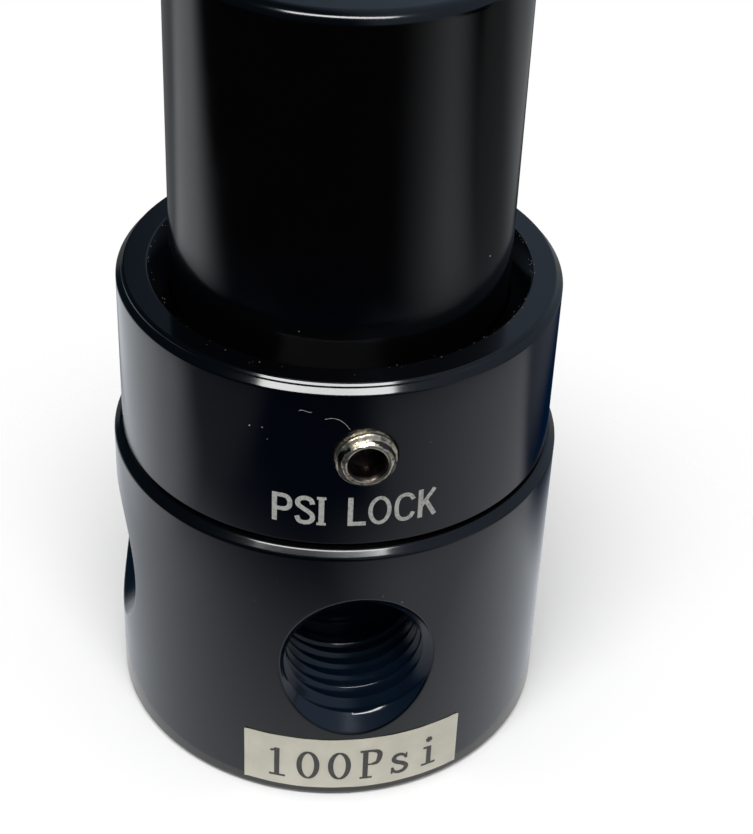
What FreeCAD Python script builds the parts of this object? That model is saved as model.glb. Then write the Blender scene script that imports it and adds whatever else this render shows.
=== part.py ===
import FreeCAD, Part
import math
import os

from FreeCAD import Vector

# Adjustable pressure regulator, standing on its base.
# The origin is the centre of the base's foot, +Z is up and the outlet port faces -Y.
# All lengths are in millimetres. Threads are plain cylinders at the size of the bore or crest.

# Clearances
running_gap = 0.06       # radial, around pieces that slide or turn in a bore
thread_gap = 0.05        # radial, between a screwed-in piece and its bore
face_gap = 0.02          # axial, between flat faces that move on each other
end_room = 0.25          # axial, left at the end of a travel
glue_gap = 0.02          # radial, under the stuck-on label

# Travels
knob_pitch = 1.27        # advance of the knob in one turn
knob_turns = 3           # turns from the position shown to fully in
valve_lift = 0.8         # from fully open to shut
lock_pitch = 0.8         # advance of the lock screw in one turn

# Port bores, shared by inlet and outlet
port_height = 15.07
port_bore_radius = 5.7
port_countersink = 1.9   # radial width of the 45 degree mouth
port_roof = 1.65         # metal between a port and the chamber above it
port_edge = 0.2          # metal left beside a passage

# Base
base_wall = 3.8
base_top_chamfer = 0.6
base_foot_chamfer = 0.5
spigot_depth = 4.73
chamber_depth = 0.4
core_wall = 1.8          # metal between the inlet chamber and the filter pocket
passage_radius = 1.1
thread_lead = 0.35       # chamfer at the start of a thread

# Filter at the bottom of the inlet port
filter_radius = 4.75
filter_thickness = 1.0
clip_section = 0.5
clip_opening = 40.0      # degrees left open in the split ring
filter_room = 0.1

# Inlet chamber with plug and poppet
poppet_chamber_radius = 4.6
chamber_head = 1.0       # from the inlet passage to the chamber's roof
plug_recess = 0.3
plug_thread_length = 3.7
plug_thread_wall = 1.35  # radial step from the plug's nose to its thread
plug_to_poppet = 2.65    # open height between the plug's nose and the poppet's foot
plug_washer_thickness = 0.8
plug_pocket_depth = 2.6
plug_hex = 5.0           # across flats
plug_hex_depth = 2.6
poppet_height = 2.2
poppet_flat_depth = 1.0  # flats that let the gas past
poppet_stem_radius = 0.9
poppet_tail_radius = 1.2
poppet_tail_length = 3.0
poppet_seal_radius = 2.9
poppet_seal_thickness = 1.0
poppet_wire = 0.5
poppet_spring_turns = 4

# Valve seat, screwed in from above
seat_body_radius = 3.0
seat_head_width = 1.2
seat_head_height = 1.2
seat_nose_radius = 2.4
seat_nose_length = 0.9
seat_proud = 0.4         # the rim's reach below the chamber's roof
seat_hole_radius = 1.6
seat_rim_chamfer = 0.45
seat_slot_width = 1.0
seat_slot_depth = 0.7
seat_ring_section = 1.0

# Piston and its bore in the ring
piston_ledge = 0.4
piston_thickness = 4.4
piston_chamfer = 0.3
piston_groove_width = 1.8
piston_groove_depth = 1.35
piston_headroom = 0.4
piston_hub_height = 2.6
gasket_thickness = 0.8

# Main spring
spring_mean_radius = 7.2
spring_wire_width = 2.0
spring_wire_height = 1.7
spring_turns = 7
spring_room = 0.6        # radial room around and inside the spring
spring_washer_thickness = 0.8
button_flange = 2.0
button_spigot = 3.0
thrust_washer_thickness = 1.0

# Ring
spigot_wall = 4.2
web_thickness = 1.8
neck_wall = 1.6
neck_length = 15.7
ring_wall = 4.285
ring_top_chamfer = 0.45
ring_foot_chamfer = 0.45
knob_pocket_depth = 12.81
knob_mouth_chamfer = 1.75

# Knob
knob_skirt_wall = 3.535
knob_exposed = 27.82
knob_crown = 4.0
knob_chamfer = 0.4

# Lock screw and its pad
lock_screw_radius = 2.45
lock_screw_proud = 0.8
lock_hex = 2.5
lock_hex_depth = 1.7
lock_face_chamfer = 0.3
pad_radius = 2.2
pad_thickness = 1.6
pad_margin = 0.1         # from the pad's edge to the end of the knob

# Label under the outlet port
label_length = 19.2
label_height = 5.7
label_thickness = 0.1
label_drop = 0.57        # from the port's mouth to the label

# Radii that follow, from the middle outwards
spring_inner_radius = spring_mean_radius - spring_wire_width / 2
spring_outer_radius = spring_mean_radius + spring_wire_width / 2
neck_bore_radius = spring_outer_radius + spring_room
neck_radius = neck_bore_radius + neck_wall
knob_thread_radius = neck_radius + thread_gap
knob_radius = knob_thread_radius + knob_skirt_wall
knob_bore_radius = knob_radius + running_gap
ring_radius = knob_bore_radius + ring_wall
hub_radius = spring_inner_radius - spring_room

clip_outer_radius = filter_radius
filter_pocket_radius = filter_radius + thread_gap
filter_pocket_depth = filter_thickness + clip_section + filter_room
filter_floor_distance = poppet_chamber_radius + core_wall
port_floor_distance = filter_floor_distance + filter_pocket_depth
outlet_passage_distance = port_floor_distance + passage_radius + port_edge
chamber_radius = outlet_passage_distance + passage_radius + port_edge
piston_bore_radius = chamber_radius + piston_ledge
piston_radius = piston_bore_radius - running_gap
spigot_radius = piston_bore_radius + spigot_wall
spigot_bore_radius = spigot_radius + thread_gap
base_radius = spigot_bore_radius + base_wall
port_mouth_radius = port_bore_radius + port_countersink

plug_nose_radius = poppet_chamber_radius - running_gap
plug_thread_radius = plug_nose_radius + plug_thread_wall
plug_bore_radius = plug_thread_radius + thread_gap
poppet_radius = poppet_chamber_radius - running_gap
poppet_spring_radius = poppet_tail_radius + running_gap + poppet_wire
plug_pocket_radius = poppet_spring_radius + poppet_wire / 2 + running_gap
seat_bore_radius = seat_body_radius + thread_gap
seat_head_radius = seat_body_radius + seat_head_width
seat_pocket_radius = seat_head_radius + thread_gap
lock_bore_radius = lock_screw_radius + thread_gap

# Heights that follow, from the foot upwards
inlet_passage_height = port_height - filter_pocket_radius + passage_radius + port_edge
chamber_roof_z = inlet_passage_height + passage_radius + chamber_head
plug_face_z = plug_recess + plug_thread_length
plug_shoulder_z = plug_face_z + plug_washer_thickness
seat_rim_z = chamber_roof_z - seat_proud
poppet_face_z = seat_rim_z - valve_lift - face_gap
poppet_foot_z = poppet_face_z - poppet_height
plug_nose_z = poppet_foot_z - plug_to_poppet
plug_pocket_floor_z = plug_nose_z - plug_pocket_depth
chamber_floor_z = port_height + port_bore_radius + port_roof
seat_head_z = chamber_floor_z - seat_head_height
seat_pocket_floor_z = seat_head_z - seat_ring_section
gasket_seat_z = chamber_floor_z + chamber_depth
spigot_end_z = gasket_seat_z + gasket_thickness
base_height = gasket_seat_z + spigot_depth
piston_foot_z = gasket_seat_z + face_gap
piston_top_z = piston_foot_z + piston_thickness
piston_ceiling_z = piston_top_z + valve_lift + piston_headroom
pocket_floor_z = piston_ceiling_z + web_thickness
ring_top_z = pocket_floor_z + knob_pocket_depth
knob_travel = knob_pitch * knob_turns
knob_foot_z = pocket_floor_z + knob_travel + end_room
knob_top_z = ring_top_z + knob_exposed
knob_ceiling_z = knob_top_z - knob_crown
neck_top_z = pocket_floor_z + neck_length
knob_thread_top_z = neck_top_z + knob_travel + end_room
lock_height = knob_foot_z + pad_radius + pad_margin
spring_foot_z = piston_top_z + spring_washer_thickness
button_top_z = knob_ceiling_z - thrust_washer_thickness - face_gap
spring_top_z = button_top_z - button_flange


def turned(outline):
    """Solid of revolution about the upright axis, from (radius, height) corners."""
    corners = [Vector(radius, 0, height) for radius, height in outline]
    face = Part.Face(Part.makePolygon(corners + corners[:1]))
    return face.revolve(Vector(0, 0, 0), Vector(0, 0, 1), 360)


def flat_ring(inner_radius, outer_radius, foot_z, thickness):
    """Washer with square edges."""
    top_z = foot_z + thickness
    return turned([(inner_radius, foot_z), (outer_radius, foot_z), (outer_radius, top_z), (inner_radius, top_z)])


def sideways(shape, height, turn=0):
    """Lay a shape made along the upright axis so that its top points to -Y, at a height.

    The turn is in degrees about the upright axis, seen from above.
    """
    laid = shape.copy()
    laid.rotate(Vector(0, 0, 0), Vector(1, 0, 0), 90)
    laid.rotate(Vector(0, 0, 0), Vector(0, 0, 1), turn)
    laid.translate(Vector(0, 0, height))
    return laid


def hexagon_prism(across_flats, foot_z, height):
    """Hexagonal bar about the upright axis."""
    corner_radius = across_flats / 2 / math.cos(math.pi / 6)
    corners = []
    for step in range(7):
        angle = math.pi / 3 * step
        corners.append(Vector(corner_radius * math.cos(angle), corner_radius * math.sin(angle), foot_z))
    return Part.Face(Part.makePolygon(corners)).extrude(Vector(0, 0, height))


def coil(section, mean_radius, foot_z, pitch, turns):
    """Spring wire of even pitch, from a closed section drawn at (mean radius, 0, 0)."""
    path = Part.Wire(Part.makeHelix(pitch, pitch * turns, mean_radius))
    wire = path.makePipeShell([section], True, True)
    wire.translate(Vector(0, 0, foot_z))
    return wire


inlet_turn = -90         # the inlet port faces -X


def port_cutter():
    """Threaded bore with its 45 degree mouth, from its floor to beyond the base's wall."""
    beyond = 1.0
    return turned([
        (0, port_floor_distance),
        (port_bore_radius, port_floor_distance),
        (port_bore_radius, base_radius - port_countersink),
        (port_mouth_radius + beyond, base_radius + beyond),
        (0, base_radius + beyond),
    ])


def base_body():
    body = turned([
        (plug_bore_radius + thread_lead, 0),
        (base_radius - base_foot_chamfer, 0),
        (base_radius, base_foot_chamfer),
        (base_radius, base_height - base_top_chamfer),
        (base_radius - base_top_chamfer, base_height),
        (spigot_bore_radius + thread_lead, base_height),
        (spigot_bore_radius, base_height - thread_lead),
        (spigot_bore_radius, gasket_seat_z),
        (chamber_radius, gasket_seat_z),
        (chamber_radius, chamber_floor_z),
        (seat_pocket_radius, chamber_floor_z),
        (seat_pocket_radius, seat_pocket_floor_z),
        (seat_bore_radius, seat_pocket_floor_z),
        (seat_bore_radius, chamber_roof_z),
        (poppet_chamber_radius, chamber_roof_z),
        (poppet_chamber_radius, plug_shoulder_z),
        (plug_bore_radius, plug_shoulder_z),
        (plug_bore_radius, thread_lead),
    ])
    pocket = Part.makeCylinder(filter_pocket_radius, filter_pocket_depth + port_edge,
                               Vector(0, 0, filter_floor_distance))
    inlet_passage = Part.makeCylinder(passage_radius, filter_floor_distance + port_edge)
    outlet_passage = Part.makeCylinder(passage_radius, chamber_floor_z - port_height + port_edge,
                                       Vector(0, -outlet_passage_distance, port_height))
    cutters = [
        sideways(port_cutter(), port_height),
        sideways(port_cutter(), port_height, inlet_turn),
        sideways(pocket, port_height, inlet_turn),
        sideways(inlet_passage, inlet_passage_height, inlet_turn),
        outlet_passage,
    ]
    return body.cut(cutters)


def bonnet_ring():
    ring = turned([
        (piston_bore_radius + thread_lead, spigot_end_z),
        (spigot_radius - thread_lead, spigot_end_z),
        (spigot_radius, spigot_end_z + thread_lead),
        (spigot_radius, base_height),
        (ring_radius - ring_foot_chamfer, base_height),
        (ring_radius, base_height + ring_foot_chamfer),
        (ring_radius, ring_top_z - ring_top_chamfer),
        (ring_radius - ring_top_chamfer, ring_top_z),
        (knob_bore_radius + knob_mouth_chamfer, ring_top_z),
        (knob_bore_radius, ring_top_z - knob_mouth_chamfer),
        (knob_bore_radius, pocket_floor_z),
        (neck_radius, pocket_floor_z),
        (neck_radius, neck_top_z - thread_lead),
        (neck_radius - thread_lead, neck_top_z),
        (neck_bore_radius, neck_top_z),
        (neck_bore_radius, piston_ceiling_z),
        (piston_bore_radius, piston_ceiling_z),
        (piston_bore_radius, spigot_end_z + thread_lead),
    ])
    hole_start = (neck_radius + knob_bore_radius) / 2
    hole = Part.makeCylinder(lock_bore_radius, ring_radius - hole_start + 1, Vector(0, 0, hole_start))
    return ring.cut(sideways(hole, lock_height))


def adjusting_knob():
    return turned([
        (knob_thread_radius + thread_lead, knob_foot_z),
        (knob_radius - knob_chamfer, knob_foot_z),
        (knob_radius, knob_foot_z + knob_chamfer),
        (knob_radius, knob_top_z - knob_chamfer),
        (knob_radius - knob_chamfer, knob_top_z),
        (0, knob_top_z),
        (0, knob_ceiling_z),
        (neck_bore_radius, knob_ceiling_z),
        (neck_bore_radius, knob_thread_top_z),
        (knob_thread_radius, knob_thread_top_z),
        (knob_thread_radius, knob_foot_z + thread_lead),
    ])


def bottom_plug():
    plug = turned([
        (0, plug_recess),
        (plug_thread_radius - thread_lead, plug_recess),
        (plug_thread_radius, plug_recess + thread_lead),
        (plug_thread_radius, plug_face_z),
        (plug_nose_radius, plug_face_z),
        (plug_nose_radius, plug_nose_z - thread_lead),
        (plug_nose_radius - thread_lead, plug_nose_z),
        (plug_pocket_radius, plug_nose_z),
        (plug_pocket_radius, plug_pocket_floor_z),
        (0, plug_pocket_floor_z),
    ])
    return plug.cut(hexagon_prism(plug_hex, plug_recess, plug_hex_depth))


def plug_washer():
    return flat_ring(plug_nose_radius + thread_gap, plug_thread_radius, plug_face_z, plug_washer_thickness)


def poppet():
    seal_floor_z = poppet_face_z - poppet_seal_thickness
    body = turned([
        (0, poppet_foot_z - poppet_tail_length),
        (poppet_tail_radius - thread_lead, poppet_foot_z - poppet_tail_length),
        (poppet_tail_radius, poppet_foot_z - poppet_tail_length + thread_lead),
        (poppet_tail_radius, poppet_foot_z),
        (poppet_radius, poppet_foot_z),
        (poppet_radius, poppet_face_z - thread_lead),
        (poppet_radius - thread_lead, poppet_face_z),
        (poppet_seal_radius + thread_gap, poppet_face_z),
        (poppet_seal_radius + thread_gap, seal_floor_z),
        (poppet_stem_radius, seal_floor_z),
        (poppet_stem_radius, piston_foot_z - face_gap),
        (0, piston_foot_z - face_gap),
    ])
    flat_distance = poppet_radius - poppet_flat_depth
    corners = []
    for step in range(4):
        angle = math.radians(120 * step + 90)
        corners.append(Vector(2 * flat_distance * math.cos(angle), 2 * flat_distance * math.sin(angle), 0))
    three_flats = Part.Face(Part.makePolygon(corners)).extrude(Vector(0, 0, base_height))
    return body.common(three_flats)


def poppet_seal():
    return flat_ring(poppet_stem_radius + thread_gap, poppet_seal_radius,
                     poppet_face_z - poppet_seal_thickness, poppet_seal_thickness)


def poppet_spring():
    """Round wire with plain ends, from the plug's pocket to the poppet."""
    height = poppet_foot_z - plug_pocket_floor_z - poppet_wire
    pitch = height / poppet_spring_turns
    along = Vector(0, 2 * math.pi * poppet_spring_radius, pitch)
    circle = Part.Circle(Vector(poppet_spring_radius, 0, 0), along, poppet_wire / 2)
    return coil(Part.Wire(circle.toShape()), poppet_spring_radius,
                plug_pocket_floor_z + poppet_wire / 2, pitch, poppet_spring_turns)


def valve_seat():
    seat = turned([
        (seat_hole_radius, seat_rim_z),
        (seat_nose_radius - seat_rim_chamfer, seat_rim_z),
        (seat_nose_radius, seat_rim_z + seat_rim_chamfer),
        (seat_nose_radius, seat_rim_z + seat_nose_length),
        (seat_body_radius, seat_rim_z + seat_nose_length),
        (seat_body_radius, seat_head_z),
        (seat_head_radius, seat_head_z),
        (seat_head_radius, chamber_floor_z),
        (seat_hole_radius, chamber_floor_z),
    ])
    slot = Part.makeBox(2 * seat_pocket_radius, seat_slot_width, seat_slot_depth + 1,
                        Vector(-seat_pocket_radius, -seat_slot_width / 2, chamber_floor_z - seat_slot_depth))
    return seat.cut(slot)


def seat_o_ring():
    section_radius = seat_ring_section / 2 - face_gap
    return Part.makeTorus(seat_body_radius + seat_ring_section / 2, section_radius,
                          Vector(0, 0, seat_pocket_floor_z + seat_ring_section / 2))


piston_groove_z = piston_foot_z + piston_thickness / 2


def piston():
    groove_foot_z = piston_groove_z - piston_groove_width / 2
    groove_top_z = piston_groove_z + piston_groove_width / 2
    groove_radius = piston_radius - piston_groove_depth
    return turned([
        (0, piston_foot_z),
        (piston_radius - piston_chamfer, piston_foot_z),
        (piston_radius, piston_foot_z + piston_chamfer),
        (piston_radius, groove_foot_z),
        (groove_radius, groove_foot_z),
        (groove_radius, groove_top_z),
        (piston_radius, groove_top_z),
        (piston_radius, piston_top_z - piston_chamfer),
        (piston_radius - piston_chamfer, piston_top_z),
        (hub_radius, piston_top_z),
        (hub_radius, piston_top_z + piston_hub_height - piston_chamfer),
        (hub_radius - piston_chamfer, piston_top_z + piston_hub_height),
        (0, piston_top_z + piston_hub_height),
    ])


def piston_o_ring():
    inner_radius = piston_radius - piston_groove_depth + face_gap
    outer_radius = piston_bore_radius - running_gap / 2
    return Part.makeTorus((inner_radius + outer_radius) / 2, (outer_radius - inner_radius) / 2,
                          Vector(0, 0, piston_groove_z))


def bonnet_gasket():
    return flat_ring(piston_bore_radius + running_gap, spigot_radius, gasket_seat_z, gasket_thickness)


def spring_washer():
    return flat_ring(hub_radius + thread_gap, spring_outer_radius, piston_top_z, spring_washer_thickness)


def main_spring():
    """Flat wire with both ends ground square, from the washer to the button."""
    half_height = spring_wire_height / 2
    corners = [
        Vector(spring_inner_radius, 0, -half_height),
        Vector(spring_outer_radius, 0, -half_height),
        Vector(spring_outer_radius, 0, half_height),
        Vector(spring_inner_radius, 0, half_height),
    ]
    section = Part.makePolygon(corners + corners[:1])
    height = spring_top_z - spring_foot_z
    pitch = height / spring_turns
    wire = coil(section, spring_mean_radius, spring_foot_z - pitch / 2, pitch, spring_turns + 1)
    return wire.common(Part.makeCylinder(2 * spring_outer_radius, height, Vector(0, 0, spring_foot_z))).Solids[0]


def spring_button():
    spigot_foot_z = spring_top_z - button_spigot
    return turned([
        (0, spigot_foot_z),
        (hub_radius - piston_chamfer, spigot_foot_z),
        (hub_radius, spigot_foot_z + piston_chamfer),
        (hub_radius, spring_top_z),
        (spring_outer_radius, spring_top_z),
        (spring_outer_radius, button_top_z - piston_chamfer),
        (spring_outer_radius - piston_chamfer, button_top_z),
        (0, button_top_z),
    ])


def thrust_washer():
    return flat_ring(hub_radius, spring_outer_radius, button_top_z + face_gap, thrust_washer_thickness)


def lock_set_screw():
    inner_end = knob_radius + running_gap + pad_thickness + face_gap
    outer_end = ring_radius + lock_screw_proud
    screw = turned([
        (0, inner_end),
        (lock_screw_radius - lock_face_chamfer, inner_end),
        (lock_screw_radius, inner_end + lock_face_chamfer),
        (lock_screw_radius, outer_end - lock_face_chamfer),
        (lock_screw_radius - lock_face_chamfer, outer_end),
        (0, outer_end),
    ])
    return sideways(screw.cut(hexagon_prism(lock_hex, outer_end - lock_hex_depth, lock_hex_depth)), lock_height)


def lock_pad():
    pad = Part.makeCylinder(pad_radius, pad_thickness, Vector(0, 0, knob_radius + running_gap))
    return sideways(pad, lock_height)


def inlet_filter():
    disc = Part.makeCylinder(filter_radius, filter_thickness, Vector(0, 0, filter_floor_distance))
    return sideways(disc, port_height, inlet_turn)


def filter_clip():
    foot = filter_floor_distance + filter_thickness
    ring = flat_ring(clip_outer_radius - clip_section, clip_outer_radius, foot, clip_section)
    opening = Part.makeCylinder(2 * clip_outer_radius, clip_section, Vector(0, 0, foot), Vector(0, 0, 1), clip_opening)
    return sideways(ring.cut(opening), port_height, inlet_turn)


def pressure_label():
    inner_radius = base_radius + glue_gap
    label_top_z = port_height - port_mouth_radius - label_drop
    half_angle = math.degrees(label_length / 2 / inner_radius)
    tape = flat_ring(inner_radius, inner_radius + label_thickness, label_top_z - label_height, label_height)
    wedge = Part.makeCylinder(base_radius + 1, label_top_z, Vector(0, 0, 0), Vector(0, 0, 1), 2 * half_angle)
    wedge.rotate(Vector(0, 0, 0), Vector(0, 0, 1), -90 - half_angle)
    return tape.common(wedge)


nodes = {
    "base_body": base_body,
    "bonnet_ring": bonnet_ring,
    "adjusting_knob": adjusting_knob,
    "bottom_plug": bottom_plug,
    "plug_washer": plug_washer,
    "poppet": poppet,
    "poppet_seal": poppet_seal,
    "poppet_spring": poppet_spring,
    "valve_seat": valve_seat,
    "seat_o_ring": seat_o_ring,
    "piston": piston,
    "piston_o_ring": piston_o_ring,
    "bonnet_gasket": bonnet_gasket,
    "spring_washer": spring_washer,
    "main_spring": main_spring,
    "spring_button": spring_button,
    "thrust_washer": thrust_washer,
    "lock_set_screw": lock_set_screw,
    "lock_pad": lock_pad,
    "inlet_filter": inlet_filter,
    "filter_clip": filter_clip,
    "pressure_label": pressure_label,
}

os.makedirs("parts", exist_ok=True)
for name, make in nodes.items():
    make().exportStep("parts/" + name + ".step")
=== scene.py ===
"""Adjustable pressure regulator: the visible pieces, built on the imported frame.

Sizes in the classes are millimetres, and MM turns them into the scene's metres. An azimuth is in
degrees about the upright axis: 0 faces the outlet port (-Y) and 90 faces +X.
"""

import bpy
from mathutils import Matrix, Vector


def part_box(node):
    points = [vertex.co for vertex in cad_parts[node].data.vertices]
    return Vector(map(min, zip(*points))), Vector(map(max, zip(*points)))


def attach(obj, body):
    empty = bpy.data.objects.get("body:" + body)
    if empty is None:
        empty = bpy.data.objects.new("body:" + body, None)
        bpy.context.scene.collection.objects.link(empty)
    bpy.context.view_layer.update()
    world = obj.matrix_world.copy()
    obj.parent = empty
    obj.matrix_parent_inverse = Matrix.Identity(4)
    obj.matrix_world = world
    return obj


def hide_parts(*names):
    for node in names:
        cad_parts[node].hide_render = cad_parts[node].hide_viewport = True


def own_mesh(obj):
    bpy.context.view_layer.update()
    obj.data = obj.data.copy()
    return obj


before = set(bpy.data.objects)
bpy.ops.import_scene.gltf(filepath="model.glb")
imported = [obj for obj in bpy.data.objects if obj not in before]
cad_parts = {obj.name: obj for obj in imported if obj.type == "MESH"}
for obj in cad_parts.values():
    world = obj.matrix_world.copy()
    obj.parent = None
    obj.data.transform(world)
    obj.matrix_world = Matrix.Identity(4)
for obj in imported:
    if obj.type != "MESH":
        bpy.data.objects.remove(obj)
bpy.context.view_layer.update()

import logging
import math
from dataclasses import dataclass, field
from enum import Enum
from typing import Any, Optional, Sequence

import bmesh
import bpy
import numpy as np
from mathutils import Matrix, Vector, geometry

log = logging.getLogger("regulator")

MM = 0.001
LEAD = 0.35             # chamfer at the start of a bore or thread
Array = np.ndarray


def linear(colour: str) -> tuple[float, float, float, float]:
    """Turn an sRGB hex colour into linear RGBA.

    Args:
        colour: The colour as "#rrggbb".

    Returns:
        Linear red, green, blue and an alpha of one.
    """
    levels = [int(colour[place:place + 2], 16) / 255 for place in (1, 3, 5)]
    red, green, blue = (v / 12.92 if v <= 0.04045 else ((v + 0.055) / 1.055) ** 2.4 for v in levels)
    return red, green, blue, 1.0


def add_node(tree: bpy.types.NodeTree, kind: str, settings: Optional[dict[Any, Any]] = None,
             links: Optional[dict[Any, bpy.types.NodeSocket]] = None) -> bpy.types.Node:
    """Add a node with its settings and its incoming links.

    Args:
        tree: The node tree of a material or the world.
        kind: The node's type, without the "ShaderNode" in front.
        settings: Input sockets by name or number, or the node's own properties, and their values.
        links: Input sockets by name or number, and the output each one is fed by.

    Returns:
        The new node.
    """
    node = tree.nodes.new("ShaderNode" + kind)
    for key, value in (settings or {}).items():
        if isinstance(key, int) or key in node.inputs:
            node.inputs[key].default_value = value
        else:
            setattr(node, key, value)
    for key, source in (links or {}).items():
        tree.links.new(source, node.inputs[key])
    return node


def new_material(name: str) -> tuple[bpy.types.Material, bpy.types.NodeTree, bpy.types.Node]:
    """Make an empty node material.

    Args:
        name: The material's name.

    Returns:
        The material, its node tree and its output node.
    """
    material = bpy.data.materials.new(name)
    material.use_nodes = True
    tree = material.node_tree
    tree.nodes.clear()
    return material, tree, add_node(tree, "OutputMaterial")


def mottling(tree: bpy.types.NodeTree, size: float, between: tuple[float, float],
             values: tuple[float, float], detail: float = 3.0) -> bpy.types.NodeSocket:
    """Waver from one value to another in blotches of a real size.

    Args:
        tree: The material's node tree.
        size: The width of a typical blotch in millimetres.
        between: Noise levels at which the first value ends and the second begins.
        values: The two values.
        detail: Octaves of finer mottling inside the blotches.

    Returns:
        The wavering value.
    """
    place = add_node(tree, "TexCoord")
    blotches = add_node(tree, "TexNoise", {"Scale": 1 / (size * MM), "Detail": detail},
                        {"Vector": place.outputs["Object"]})
    held = add_node(tree, "MapRange", {"From Min": between[0], "From Max": between[1], "To Min": values[0],
                                       "To Max": values[1], "interpolation_type": "SMOOTHSTEP"},
                    {"Value": blotches.outputs["Fac"]})
    return held.outputs["Result"]


def grain(tree: bpy.types.NodeTree, size: float, depth: float) -> bpy.types.NodeSocket:
    """Roughen a face with fine irregular relief.

    Args:
        tree: The material's node tree.
        size: The width of a typical grain in millimetres.
        depth: How high the grains stand, in millimetres.

    Returns:
        The tilted normal.
    """
    place = add_node(tree, "TexCoord")
    grains = add_node(tree, "TexNoise", {"Scale": 1 / (size * MM), "Detail": 2.0},
                      {"Vector": place.outputs["Object"]})
    relief = add_node(tree, "Bump", {"Strength": 1.0, "Distance": depth * MM},
                      {"Height": grains.outputs["Fac"]})
    return relief.outputs["Normal"]


@dataclass(frozen=True)
class AnodisedAluminium:
    """Aluminium turned on a lathe, then dyed black and sealed by anodising.

    The clear oxide over the dye reflects like glass: nearly black face on, bright at a grazing angle.
    The rings that the tool left show only as a faint spread in the highlights.
    """

    colour: str = "#030304"
    ior: float = 1.6
    roughness: tuple[float, float] = (0.11, 0.17)
    smudge: float = 9.0
    ring_pitch: float = 0.12        # the real feed is finer; this is what a highlight can show
    ring_depth: float = 0.0006

    def material(self, name: str) -> bpy.types.Material:
        """Build the finish.

        Args:
            name: The material's name.

        Returns:
            The material.
        """
        material, tree, output = new_material(name)
        place = add_node(tree, "TexCoord")
        parts = add_node(tree, "SeparateXYZ", links={"Vector": place.outputs["Object"]})
        flat = add_node(tree, "CombineXYZ", links={"X": parts.outputs["X"], "Y": parts.outputs["Y"]})
        reach = add_node(tree, "VectorMath", {"operation": "LENGTH"}, {0: flat.outputs["Vector"]})
        along = add_node(tree, "Math", {"operation": "ADD"},
                         {0: reach.outputs["Value"], 1: parts.outputs["Z"]})
        turns = add_node(tree, "Math", {"operation": "MULTIPLY", 1: 1 / (self.ring_pitch * MM)},
                         {0: along.outputs["Value"]})
        rings = add_node(tree, "TexNoise", {"noise_dimensions": "1D", "Scale": 1.0, "Detail": 2.0},
                         {"W": turns.outputs["Value"]})
        relief = add_node(tree, "Bump", {"Strength": 1.0, "Distance": self.ring_depth * MM},
                          {"Height": rings.outputs["Fac"]})
        shader = add_node(tree, "BsdfPrincipled",
                          {"Base Color": linear(self.colour), "IOR": self.ior, "Metallic": 0.0},
                          {"Roughness": mottling(tree, self.smudge, (0.35, 0.65), self.roughness),
                           "Normal": relief.outputs["Normal"]})
        tree.links.new(shader.outputs["BSDF"], output.inputs["Surface"])
        return material


@dataclass(frozen=True)
class MottledFinish:
    """A finish of two colours that run into each other in small blotches.

    Attributes:
        colour: The main colour.
        stain: The colour of the blotches.
        roughness: Of the main colour and of the blotches.
        metallic: One for bare metal, otherwise zero.
        blotch: Width of a blotch in millimetres.
        stained: Noise levels where the stain begins and where it is full.
        grain: Width of the fine relief's grains in millimetres.
        depth: Height of those grains in millimetres.
        ior: The refractive index; metals keep the default.
    """

    colour: str
    stain: str
    roughness: tuple[float, float]
    metallic: float
    blotch: float = 1.5
    stained: tuple[float, float] = (0.52, 0.7)
    grain: float = 0.08
    depth: float = 0.002
    ior: float = 1.5

    def material(self, name: str) -> bpy.types.Material:
        """Build the finish.

        Args:
            name: The material's name.

        Returns:
            The material.
        """
        material, tree, output = new_material(name)
        share = mottling(tree, self.blotch, self.stained, (0.0, 1.0), 5.0)
        tint = add_node(tree, "Mix", {"data_type": "RGBA", 6: linear(self.colour), 7: linear(self.stain)},
                        {0: share})
        shader = add_node(tree, "BsdfPrincipled", {"Metallic": self.metallic, "IOR": self.ior},
                          {"Base Color": tint.outputs[2],
                           "Roughness": mottling(tree, self.blotch, self.stained, self.roughness, 5.0),
                           "Normal": grain(tree, self.grain, self.depth)})
        tree.links.new(shader.outputs["BSDF"], output.inputs["Surface"])
        return material


# Dyed black and sealed after turning: nearly black face on, bright at a grazing angle.
BLACK_ANODISING = AnodisedAluminium()
# The same over tapped threads, a little duller, and navy rather than black: painted blue light in the ports.
PORT_ANODISING_PAINTED_BLUE = AnodisedAluminium("#06101C", roughness=(0.13, 0.19))
# Turned aluminium left bare: soft and light, slightly warm.
BARE_ALUMINIUM = MottledFinish("#D9DADB", "#C3C4C6", roughness=(0.25, 0.4), metallic=1.0)
# Turned brass: yellow, with darker handling marks.
TURNED_BRASS = MottledFinish("#C9A25A", "#9C7A3C", roughness=(0.2, 0.38), metallic=1.0)
# Bronze beads sintered into a disc: dull, open and grainy.
SINTERED_BRONZE = MottledFinish("#A97B4B", "#6E4E2E", roughness=(0.5, 0.75), metallic=1.0, blotch=0.6,
                                stained=(0.4, 0.6), grain=0.18, depth=0.05)
# Zinc-plated steel, rubbed bright on its rims; its hollows take the darker steel below, for old oil and dirt
# and for painted shade.
PLATED_STEEL = MottledFinish("#E0D3BA", "#5A4A3C", roughness=(0.32, 0.6), metallic=1.0, blotch=0.45,
                             stained=(0.5, 0.72), grain=0.14, depth=0.02)
# The same steel inside the socket and in the hollow around its rim: dark brown, for oil and dirt and for
# painted shade.
OILY_STEEL_AND_PAINTED_SHADE = MottledFinish("#584E48", "#332B28", roughness=(0.28, 0.5), metallic=1.0, blotch=0.5)
# Hard drawn spring wire, oiled: dark grey.
DRAWN_STEEL = MottledFinish("#77797C", "#4E4B48", roughness=(0.25, 0.45), metallic=1.0, blotch=1.2)
# Ground stainless steel: clean and even.
STAINLESS_STEEL = MottledFinish("#BFC1C3", "#A5A7A9", roughness=(0.2, 0.32), metallic=1.0)
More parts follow.
